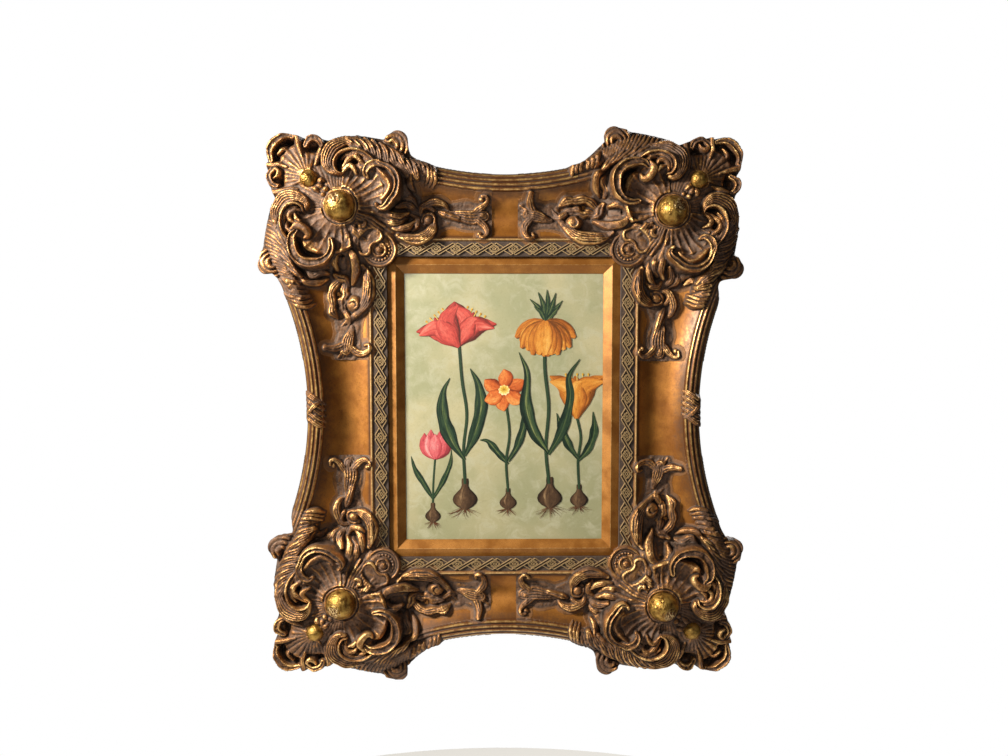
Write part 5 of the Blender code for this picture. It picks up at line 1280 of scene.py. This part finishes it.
class Finish:
    """A Principled material, with short ways to add the nodes of its pattern."""

    def __init__(self, name, roughness, metallic=0.0, **settings):
        self.made = bpy.data.materials.new(name)
        self.made.use_nodes = True
        self.tree = self.made.node_tree
        self.shader = self.tree.nodes["Principled BSDF"]
        self.shader.inputs["Roughness"].default_value = roughness
        self.shader.inputs["Metallic"].default_value = metallic
        for key, value in settings.items():
            self.shader.inputs[key.replace("_", " ")].default_value = value
        self.place = self.tree.nodes.new("ShaderNodeTexCoord").outputs["Object"]

    def feed(self, socket, value):
        """Link a node's output to a socket, or give the socket a value or colour."""
        if isinstance(value, bpy.types.NodeSocket):
            self.tree.links.new(value, socket)
        else:
            socket.default_value = (*value, 1) if np.ndim(value) and len(socket.default_value) == 4 else value

    def value(self, name):
        """A number that the mesh carries at each point."""
        node = self.tree.nodes.new("ShaderNodeAttribute")
        node.attribute_name = name
        return node.outputs["Fac"]

    def colour(self, name):
        """A colour that the mesh carries at each point."""
        node = self.tree.nodes.new("ShaderNodeAttribute")
        node.attribute_name = name
        return node.outputs["Color"]

    def position(self, axis):
        """How far along an axis a point is, in metres."""
        node = self.tree.nodes.new("ShaderNodeSeparateXYZ")
        self.tree.links.new(self.place, node.inputs[0])
        return node.outputs[axis]

    def stretched(self, x, y, z):
        """Places for a pattern that is drawn out along the axes whose number is small."""
        node = self.tree.nodes.new("ShaderNodeMapping")
        node.inputs["Scale"].default_value = (x, y, z)
        self.tree.links.new(self.place, node.inputs["Vector"])
        return node.outputs["Vector"]

    def noise(self, size, detail=4.0, rough=0.55, twist=0.0, place=None):
        """Noise whose blotches are about size metres wide."""
        node = self.tree.nodes.new("ShaderNodeTexNoise")
        node.inputs["Scale"].default_value = 1 / size
        node.inputs["Detail"].default_value = detail
        node.inputs["Roughness"].default_value = rough
        node.inputs["Distortion"].default_value = twist
        self.tree.links.new(place or self.place, node.inputs["Vector"])
        return node.outputs["Fac"]

    def cells(self, size, feature="F1"):
        """Distances within cells about size metres wide."""
        node = self.tree.nodes.new("ShaderNodeTexVoronoi")
        node.feature = feature
        node.inputs["Scale"].default_value = 1 / size
        self.tree.links.new(self.place, node.inputs["Vector"])
        return node.outputs["Distance"]

    def span(self, value, low, high, to_low=0.0, to_high=1.0):
        """The value's range low to high stretched to another, and held there."""
        node = self.tree.nodes.new("ShaderNodeMapRange")
        node.interpolation_type = "SMOOTHSTEP"
        self.tree.links.new(value, node.inputs["Value"])
        for key, number in zip(("From Min", "From Max", "To Min", "To Max"), (low, high, to_low, to_high)):
            node.inputs[key].default_value = number
        return node.outputs["Result"]

    def maths(self, operation, a, b=0.0, held=False):
        """One sum on two values; held keeps it from 0 to 1."""
        node = self.tree.nodes.new("ShaderNodeMath")
        node.operation = operation
        node.use_clamp = held
        self.feed(node.inputs[0], a)
        self.feed(node.inputs[1], b)
        return node.outputs[0]

    def swing(self, value, noise, amount):
        """A value with a noise about its middle added."""
        return self.maths("ADD", value, self.maths("MULTIPLY", self.maths("SUBTRACT", noise, 0.5), amount))

    def mix(self, amount, a, b, blend="MIX"):
        """Colour a going to b as the amount goes from 0 to 1."""
        node = self.tree.nodes.new("ShaderNodeMix")
        node.data_type = "RGBA"
        node.blend_type = blend
        self.feed(node.inputs[0], amount)
        self.feed(node.inputs[6], a)
        self.feed(node.inputs[7], b)
        return node.outputs[2]

    def bump(self, value, depth, strength=1.0, after=None):
        """Small relief of a depth in metres."""
        node = self.tree.nodes.new("ShaderNodeBump")
        node.inputs["Strength"].default_value = strength
        node.inputs["Distance"].default_value = depth
        self.tree.links.new(value, node.inputs["Height"])
        if after:
            self.tree.links.new(after, node.inputs["Normal"])
        return node.outputs["Normal"]

    def set(self, **sockets):
        """Feed the shader's sockets and hand over the finished material."""
        for key, value in sockets.items():
            self.feed(self.shader.inputs[key.replace("_", " ")], value)
        return self.made


GILDING_ENDS = -0.0338, -0.0330  # the liner's depth, as y, over which its gilding gives way to bare wood
CRAZING = 0.012  # size of the cells of the varnish's age cracks
# painted shade: the near-black laid into the carving's grooves and hollows
RECESS_SHADE = (0.013, 0.007, 0.0045)
OLD_GOLD = (0.37, 0.172, 0.058)
# rubbed gold with painted highlight, for the brightest ridges of the carving
RUBBED_GOLD_HIGHLIGHT = (0.88, 0.555, 0.23)
DUST = (0.142, 0.087, 0.059)


def carved_gilt():
    """Cast ornament: umber-toned gilding, rubbed gold with painted highlight on its ridges, painted shade in
    its grooves and hollows, and dust in its hollows.
    """
    f = Finish("carved_gilt", 0.45)
    fine, broad, lift = f.value("fine"), f.value("broad"), f.value("lift")
    mottle = f.noise(0.009, 6, 0.65)
    speck = f.noise(0.0012, 3, 0.7)
    body = f.mix(f.span(mottle, 0.35, 0.68), (0.100, 0.046, 0.023), (0.225, 0.116, 0.058))
    body = f.mix(f.span(f.noise(0.030, 3), 0.42, 0.66, 0, 0.6), body, (0.17, 0.098, 0.064))
    ridge = f.swing(f.maths("MULTIPLY", fine, 0.58), mottle, 1.7)
    ridge = f.maths("ADD", ridge, f.span(broad, -0.5, 3.0, 0, 0.5))
    ridge = f.swing(ridge, f.noise(0.016, 3, 0.5), 2.2)
    ridge = f.swing(ridge, f.noise(0.045, 2, 0.5), 2.4)
    ridge = f.swing(ridge, speck, 0.9)
    colour = f.mix(f.span(ridge, 0.10, 0.95), body, OLD_GOLD)
    # rubbed gold and painted highlight on the brightest ridges
    colour = f.mix(f.span(ridge, 0.80, 1.55), colour, RUBBED_GOLD_HIGHLIGHT)
    # painted shade: grooves darkened towards near-black
    colour = f.mix(f.span(fine, -0.05, -0.7, 0, 0.9), colour, RECESS_SHADE)
    # painted shade: deep hollows darkened towards near-black
    hollow = f.span(broad, -1.9, -6.2, 0, 0.82)
    colour = f.mix(f.maths("MULTIPLY", hollow, f.span(speck, 0.3, 0.6, 0.55, 1.0)), colour, RECESS_SHADE)
    dusty = f.maths("MULTIPLY", f.span(broad, 1.0, -2.0), f.span(f.noise(0.016, 5, 0.6), 0.36, 0.62, 0, 0.8))
    dusty = f.maths("MULTIPLY", dusty, f.span(fine, 0.35, -0.05))
    colour = f.mix(dusty, colour, DUST)
    foot = f.swing(lift, mottle, 1.2)
    grime = f.mix(f.span(speck, 0.4, 0.6), (0.062, 0.036, 0.024), DUST)
    colour = f.mix(f.span(foot, 2.4, 1.4, 0, 0.85), colour, grime)
    colour = f.mix(f.span(foot, 0.95, 0.1), colour, (0.22, 0.095, 0.028))
    metallic = f.span(ridge, 0.0, 0.9, 0.15, 0.75)
    rough = f.span(ridge, -0.2, 0.9, 0.60, 0.38)
    pits = f.bump(f.noise(0.0024, 5, 0.70), 0.0008, 0.8)
    pits = f.bump(speck, 0.00025, 0.6, after=pits)
    return f.set(Base_Color=colour, Metallic=metallic, Roughness=rough, Normal=pits)


def ball_gilt():
    """The balls: burnished gold going green-brown, with a bubbled patch painted in dark and cream squiggles
    as its highlight.
    """
    f = Finish("ball_gilt", 0.36)
    worn = f.value("worn")
    mottle = f.noise(0.008, 6, 0.6)
    cracks = f.cells(0.0035, "DISTANCE_TO_EDGE")
    colour = f.mix(f.span(mottle, 0.34, 0.64), (0.20, 0.096, 0.020), (0.54, 0.33, 0.078))
    # painted highlight: cream squiggles on dark over the bubbled patch
    curl = f.maths("ABSOLUTE", f.maths("SUBTRACT", f.noise(0.0075, 1.0, 0.4, 1.6), 0.5))
    patch_highlight = f.mix(f.span(curl, 0.08, 0.02), (0.16, 0.070, 0.022), (0.90, 0.66, 0.32))
    colour = f.mix(worn, colour, patch_highlight)
    rough = f.mix(worn, f.span(mottle, 0.3, 0.7, 0.29, 0.42), (0.45, 0.45, 0.45))
    relief = f.bump(f.span(cracks, 0.0, 0.14), 0.0004, 0.5)
    relief = f.bump(f.noise(0.003, 4, 0.6), 0.0003, 0.35, after=relief)
    return f.set(Base_Color=colour, Metallic=f.span(mottle, 0.3, 0.7, 0.88, 0.72), Roughness=rough,
                 Normal=relief)


def rail_gilt():
    """The reeded rail: red-brown grooves with painted shade, bright crests of rubbed gold and painted
    highlight, and a bare umber side wall.
    """
    f = Finish("rail_gilt", 0.4)
    fine, wall = f.value("fine"), f.value("wall")
    mottle = f.noise(0.012, 6, 0.65)
    streak = f.noise(0.004, 4, 0.6)
    crest = f.swing(fine, mottle, 1.5)
    crest = f.swing(crest, streak, 0.7)
    # painted shade: the grooves go near-black
    colour = f.mix(f.span(crest, -0.9, 0.30), (0.030, 0.011, 0.004), (0.18, 0.066, 0.020))
    # rubbed gold and painted highlight: the crests go bright
    colour = f.mix(f.span(crest, 0.30, 1.05), colour, (0.78, 0.50, 0.18))
    colour = f.mix(wall, colour, (0.075, 0.038, 0.020))
    metallic = f.maths("MULTIPLY", f.span(crest, -0.6, 0.7, 0.2, 0.6), f.maths("SUBTRACT", 1.0, wall))
    rough = f.mix(wall, f.span(crest, -0.4, 0.7, 0.46, 0.28), (0.75, 0.75, 0.75))
    relief = f.bump(f.noise(0.0018, 5, 0.65), 0.0003, 0.5)
    return f.set(Base_Color=colour, Metallic=metallic, Roughness=rough, Normal=relief)


def cove_gilt():
    """The smooth cove: orange-gold leaf over red clay, finely speckled, with painted shade towards its edges.
    """
    f = Finish("cove_gilt", 0.36)
    across = f.value("across")
    cloud = f.noise(0.045, 5, 0.6)
    speckle = f.noise(0.0016, 4, 0.75)
    scuff = f.noise(0.007, 6, 0.7)
    colour = f.mix(f.span(cloud, 0.35, 0.66), (0.29, 0.104, 0.015), (0.50, 0.205, 0.036))
    colour = f.mix(f.span(speckle, 0.52, 0.70, 0, 0.75), colour, (0.16, 0.055, 0.016))
    colour = f.mix(f.span(scuff, 0.62, 0.78, 0, 0.65), colour, (0.10, 0.038, 0.014))
    ragged = f.swing(across, scuff, 0.35)
    # painted shade along both edges of the cove, where the fillet and the rail meet it
    rim = f.maths("ADD", f.span(across, 0.08, 0.0), f.span(ragged, 0.72, 1.02, 0, 0.8), held=True)
    colour = f.mix(rim, colour, (0.060, 0.024, 0.010))
    rough = f.span(scuff, 0.3, 0.7, 0.36, 0.50)
    relief = f.bump(f.noise(0.0024, 5, 0.7), 0.00025, 0.4)
    return f.set(Base_Color=colour, Metallic=f.span(rim, 0, 1, 0.5, 0.2), Roughness=rough, Normal=relief)


def worn_gilt(name, low, high, bright, gain=1.0):
    """Gilding on a small moulding or the lattice: a dull ground, and bright metal where it is rubbed."""
    f = Finish(name, 0.4)
    fine = f.value("fine")
    mottle = f.noise(0.006, 6, 0.7)
    speck = f.noise(0.0012, 3, 0.7)
    worn = f.swing(f.maths("MULTIPLY", fine, gain), mottle, 1.8)
    worn = f.swing(worn, speck, 1.0)
    colour = f.mix(f.span(worn, -0.7, 0.3), low, high)
    colour = f.mix(f.span(worn, 0.2, 1.1), colour, bright)
    relief = f.bump(f.noise(0.0016, 5, 0.7), 0.0004, 0.6)
    return f.set(Base_Color=colour, Metallic=f.span(worn, -0.4, 0.8, 0.1, 0.55),
                 Roughness=f.span(worn, -0.4, 0.9, 0.62, 0.38), Normal=relief)


def liner_gilt():
    """The slip: satin orange-gold with a fine tooth, paler on its rubbed ridge, and bare wood behind."""
    f = Finish("liner_gilt", 0.34)
    fine = f.value("fine")
    cloud = f.noise(0.03, 5, 0.6)
    speckle = f.noise(0.0011, 4, 0.8)
    colour = f.mix(f.span(cloud, 0.35, 0.65), (0.32, 0.120, 0.018), (0.49, 0.210, 0.042))
    colour = f.mix(f.span(speckle, 0.45, 0.70, 0, 0.7), colour, (0.17, 0.058, 0.015))
    rub = f.swing(fine, f.noise(0.004, 5, 0.7), 1.4)
    colour = f.mix(f.span(rub, 0.55, 1.3, 0, 0.6), colour, (0.80, 0.52, 0.21))
    behind = f.span(f.position("Y"), *GILDING_ENDS)
    wood = f.mix(f.span(cloud, 0.35, 0.65), (0.24, 0.150, 0.080), (0.33, 0.215, 0.118))
    metallic = f.maths("MULTIPLY", f.span(speckle, 0.3, 0.75, 0.45, 0.25), f.maths("SUBTRACT", 1.0, behind))
    rough = f.mix(behind, f.span(cloud, 0.3, 0.7, 0.36, 0.46), (0.75, 0.75, 0.75))
    return f.set(Base_Color=f.mix(behind, colour, wood), Metallic=metallic, Roughness=rough,
                 Normal=f.bump(speckle, 0.00018, 0.5))


def varnish_relief(f):
    """Brush marks and a fine net of age cracks under varnish."""
    brush = f.noise(0.004, 4, 0.6, 0.6, place=f.stretched(0.35, 1, 1))
    weave = f.noise(0.0012, 2, 0.5)
    relief = f.bump(brush, 0.0003, 0.35)
    relief = f.bump(weave, 0.0001, 0.3, after=relief)
    cracks = f.cells(CRAZING, "DISTANCE_TO_EDGE")
    return f.bump(f.span(cracks, 0.0, 0.02), 0.0001, 0.25, after=relief)


def painted_ground():
    """The picture's ground: celadon going to warm cream, brushed unevenly and yellowed by varnish, with
    painted shade darker towards the bottom.
    """
    f = Finish("painted_ground", 0.36, Coat_Weight=0.35, Coat_Roughness=0.16)
    broad = f.noise(0.11, 3, 0.5)
    patch = f.noise(0.022, 5, 0.65, 0.8)
    fleck = f.noise(0.0022, 4, 0.75)
    colour = f.mix(f.span(broad, 0.36, 0.64), (0.38, 0.385, 0.225), (0.57, 0.515, 0.31))
    # painted shade: the ground grows darker towards the bottom, as the light falls off
    below = f.span(f.position("Z"), CENTRE.z + 0.02, CENTRE.z - 0.24, 0, 0.5)
    colour = f.mix(below, colour, (0.30, 0.285, 0.155))
    colour = f.mix(f.span(patch, 0.42, 0.70, 0, 0.65), colour, (0.54, 0.53, 0.37))
    colour = f.mix(f.span(patch, 0.55, 0.25, 0, 0.35), colour, (0.40, 0.40, 0.235))
    colour = f.mix(f.span(fleck, 0.54, 0.72, 0, 0.34), colour, (0.25, 0.22, 0.12))
    cracks = f.cells(CRAZING, "DISTANCE_TO_EDGE")
    colour = f.mix(f.span(cracks, 0.012, 0.0, 0, 0.16), colour, (0.20, 0.17, 0.09))
    return f.set(Base_Color=colour, Normal=varnish_relief(f))


def painted_flowers():
    """The flowers' own colours, broken up by brush strokes."""
    f = Finish("painted_flowers", 0.34, Coat_Weight=0.35, Coat_Roughness=0.16)
    brush = f.noise(0.0022, 5, 0.7, 0.8)
    colour = f.mix(f.span(brush, 0.35, 0.75, 0.0, 0.4), f.colour("paint"), (0.92, 0.84, 0.62), "SOFT_LIGHT")
    colour = f.mix(f.span(brush, 0.5, 0.22, 0.0, 0.6), colour, (0.25, 0.22, 0.18), "MULTIPLY")
    return f.set(Base_Color=colour, Normal=varnish_relief(f))


def bare_wood(name, dark, light, stained, mitred=False):
    """Raw wood with a long grain and stains; mitred, its grain turns at joints from the opening's corners."""
    f = Finish(name, 0.72)
    grain = f.noise(0.006, 6, 0.6, 0.4, place=f.stretched(1, 1, 0.07))
    stain = f.noise(0.09, 4, 0.6)
    if mitred:
        level = f.noise(0.006, 6, 0.6, 0.4, place=f.stretched(0.07, 1, 1))
        above = f.maths("ABSOLUTE", f.maths("SUBTRACT", f.position("Z"), CENTRE.z))
        past = f.maths("SUBTRACT", above, f.maths("ABSOLUTE", f.position("X")))
        past = f.maths("SUBTRACT", past, float(HALF[1] - HALF[0]) * MM)
        grain = f.mix(f.span(past, -0.0001, 0.0001), grain, level)
    colour = f.mix(f.span(grain, 0.35, 0.65), dark, light)
    colour = f.mix(f.span(stain, 0.5, 0.75, 0, 0.55), colour, stained)
    if mitred:
        joint = f.span(f.maths("ABSOLUTE", past), 0.0008, 0.0003, 0, 0.8)
        colour = f.mix(joint, colour, (0.03, 0.018, 0.010))
    return f.set(Base_Color=colour, Roughness=f.span(grain, 0.3, 0.7, 0.8, 0.62),
                 Normal=f.bump(grain, 0.0004, 0.5))


def zinc_steel():
    """Dull zinc plate with a faint spangle and rubbed scratches."""
    f = Finish("zinc_steel_plate", 0.4, metallic=1.0)
    spangle = f.cells(0.004)
    scratch = f.noise(0.0012, 4, 0.7, place=f.stretched(0.12, 1, 1))
    colour = f.mix(f.span(spangle, 0.1, 0.7), (0.42, 0.43, 0.44), (0.60, 0.61, 0.62))
    return f.set(Base_Color=colour, Roughness=f.span(scratch, 0.3, 0.7, 0.3, 0.52),
                 Normal=f.bump(scratch, 0.0001, 0.3))


# ---- the object ----------------------------------------------------------------------------------

SIDES = "top", "right", "bottom", "left"
CORNERS = "top_left", "top_right", "bottom_right", "bottom_left"


def build_frame():
    """The carved corners, the moulding between them and the flat back."""
    carved, balls = carved_gilt(), ball_gilt()
    rails, coves = rail_gilt(), cove_gilt()
    small = worn_gilt("fillet_gilt", (0.09, 0.040, 0.015), (0.34, 0.17, 0.055), (0.88, 0.62, 0.27), 1.4)
    bands = worn_gilt("band_ground", (0.060, 0.039, 0.030), (0.135, 0.094, 0.068), (0.30, 0.21, 0.13))
    lines = worn_gilt("lattice_gilt", (0.13, 0.082, 0.050), (0.29, 0.185, 0.100), (0.66, 0.46, 0.23), 0.9)
    corners = [Corner(0), Corner(1)]
    for k, place in enumerate(CORNERS):
        casting(f"casting_{place}", corners[k % 2], k, carved)
        boss(f"boss_{place}", k, balls)
        round_piece(f"ball_{place}", k, BALL, *dome(BALL_RADIUS, BALL_HEIGHT, 30), balls, 56)
        rosette(f"rosette_{place}", k, carved)
    for k, place in enumerate(SIDES):
        rail(f"rail_{place}", k, rails)
        cove(f"cove_{place}", k, coves)
        fillet(f"fillet_{place}", k, small)
        band(f"band_{place}", k, bands)
        lattice(f"lattice_{place}", k, lines)
        if k % 2 == 1:
            knot(f"knot_{place}", k, carved)
    wood = bare_wood("bare_wood", (0.20, 0.115, 0.055), (0.36, 0.235, 0.125), (0.11, 0.062, 0.032),
                     mitred=True)
    back("back", wood)


def build_picture():
    """The liner's four members, the panel with its bare board, and the painted plants."""
    gilt = liner_gilt()
    for k, place in enumerate(SIDES):
        liner(f"liner_{place}", k, gilt)
    panel("painted_panel", painted_ground())
    wood = bare_wood("panel_wood", (0.13, 0.075, 0.040), (0.21, 0.130, 0.072), (0.07, 0.042, 0.024))
    board("panel_board", wood)
    bouquet("painted_plants", painted_flowers())


def dress_hanger():
    """The hanger keeps its own shape and gets its metal."""
    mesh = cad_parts["hanger"].data
    mesh.materials.clear()
    mesh.materials.append(zinc_steel())


# ---- the room ------------------------------------------------------------------------------------

CAMERA_DISTANCE, CAMERA_ABOVE, CAMERA_ROUND = 1.5, 4.616, -1.08  # metres, degrees and degrees
LENS, SHIFT = 36.18, 0.02945
LIGHTS = (  # name, where it shines from, distance, size, watts and colour
    ("key", (-0.80, -0.45, 0.42), 1.55, 0.32, 54.0, (1.0, 0.935, 0.82)),
    ("fill", (-0.20, -1.0, 0.22), 2.6, 0.7, 7.0, (1.0, 0.97, 0.93)),
    ("behind", (0.5, 1.0, 0.5), 2.6, 1.6, 45.0, (1.0, 0.98, 0.95)),
)
WORLD_LIGHT = 0.06
WHITE = (1, 1, 1, 1)
FLOOR_RADIUS, FLOOR_BELOW = 1.1, 0.6  # the floor, and how far under the frame it lies


def aimed(made, at):
    """Turns a light or camera towards a point."""
    made.rotation_euler = (at - made.location).to_track_quat("-Z", "Y").to_euler()


def build_camera(aim):
    """The photo's camera."""
    data = bpy.data.cameras.new("camera")
    data.lens = LENS
    data.shift_y = SHIFT
    made = bpy.data.objects.new("camera", data)
    up, round_ = math.radians(CAMERA_ABOVE), math.radians(CAMERA_ROUND)
    way = Vector((math.sin(round_) * math.cos(up), -math.cos(round_) * math.cos(up), math.sin(up)))
    made.location = aim + CAMERA_DISTANCE * way
    aimed(made, aim)
    bpy.context.scene.collection.objects.link(made)
    bpy.context.scene.camera = made


def area_light(aim, name, way, distance, size, energy, colour):
    """A round lamp that shines at the painting's middle."""
    data = bpy.data.lights.new(name, "AREA")
    data.shape = "DISK"
    data.size = size
    data.energy = energy
    data.color = colour
    made = bpy.data.objects.new(name, data)
    made.location = aim + Vector(way).normalized() * distance
    aimed(made, aim)
    bpy.context.scene.collection.objects.link(made)


def build_floor():
    """A pale disc far under the frame."""
    mesh = bpy.data.meshes.new("floor")
    angle = np.linspace(0, 2 * np.pi, 96, endpoint=False)
    below = FRAME_BOX[0].z - FLOOR_BELOW
    ring = [(FLOOR_RADIUS * math.cos(a), FLOOR_RADIUS * math.sin(a), below) for a in angle]
    mesh.from_pydata(ring, [], [tuple(range(len(ring)))])
    plain = Finish("pale_floor", 0.85)
    mesh.materials.append(plain.set(Base_Color=(0.86, 0.86, 0.85)))
    made = bpy.data.objects.new("floor", mesh)
    bpy.context.scene.collection.objects.link(made)


def build_room():
    """Camera, lights, floor, and a world that lights faintly but is seen as white."""
    aim = Vector((CENTRE.x, -PANEL_FRONT * MM, CENTRE.z))
    build_camera(aim)
    for light in LIGHTS:
        area_light(aim, *light)
    build_floor()
    world = bpy.data.worlds.new("studio")
    bpy.context.scene.world = world
    world.use_nodes = True
    tree = world.node_tree
    light = tree.nodes["Background"]
    light.inputs["Color"].default_value = WHITE
    light.inputs["Strength"].default_value = WORLD_LIGHT
    seen = tree.nodes.new("ShaderNodeBackground")
    seen.inputs["Strength"].default_value = 1.0
    seen.inputs["Color"].default_value = WHITE
    path, blend = tree.nodes.new("ShaderNodeLightPath"), tree.nodes.new("ShaderNodeMixShader")
    tree.links.new(path.outputs["Is Camera Ray"], blend.inputs[0])
    tree.links.new(light.outputs[0], blend.inputs[1])
    tree.links.new(seen.outputs[0], blend.inputs[2])
    tree.links.new(blend.outputs[0], tree.nodes["World Output"].inputs[0])
    bpy.context.scene.view_settings.view_transform = "Standard"


build_frame()
build_picture()
dress_hanger()
build_room()
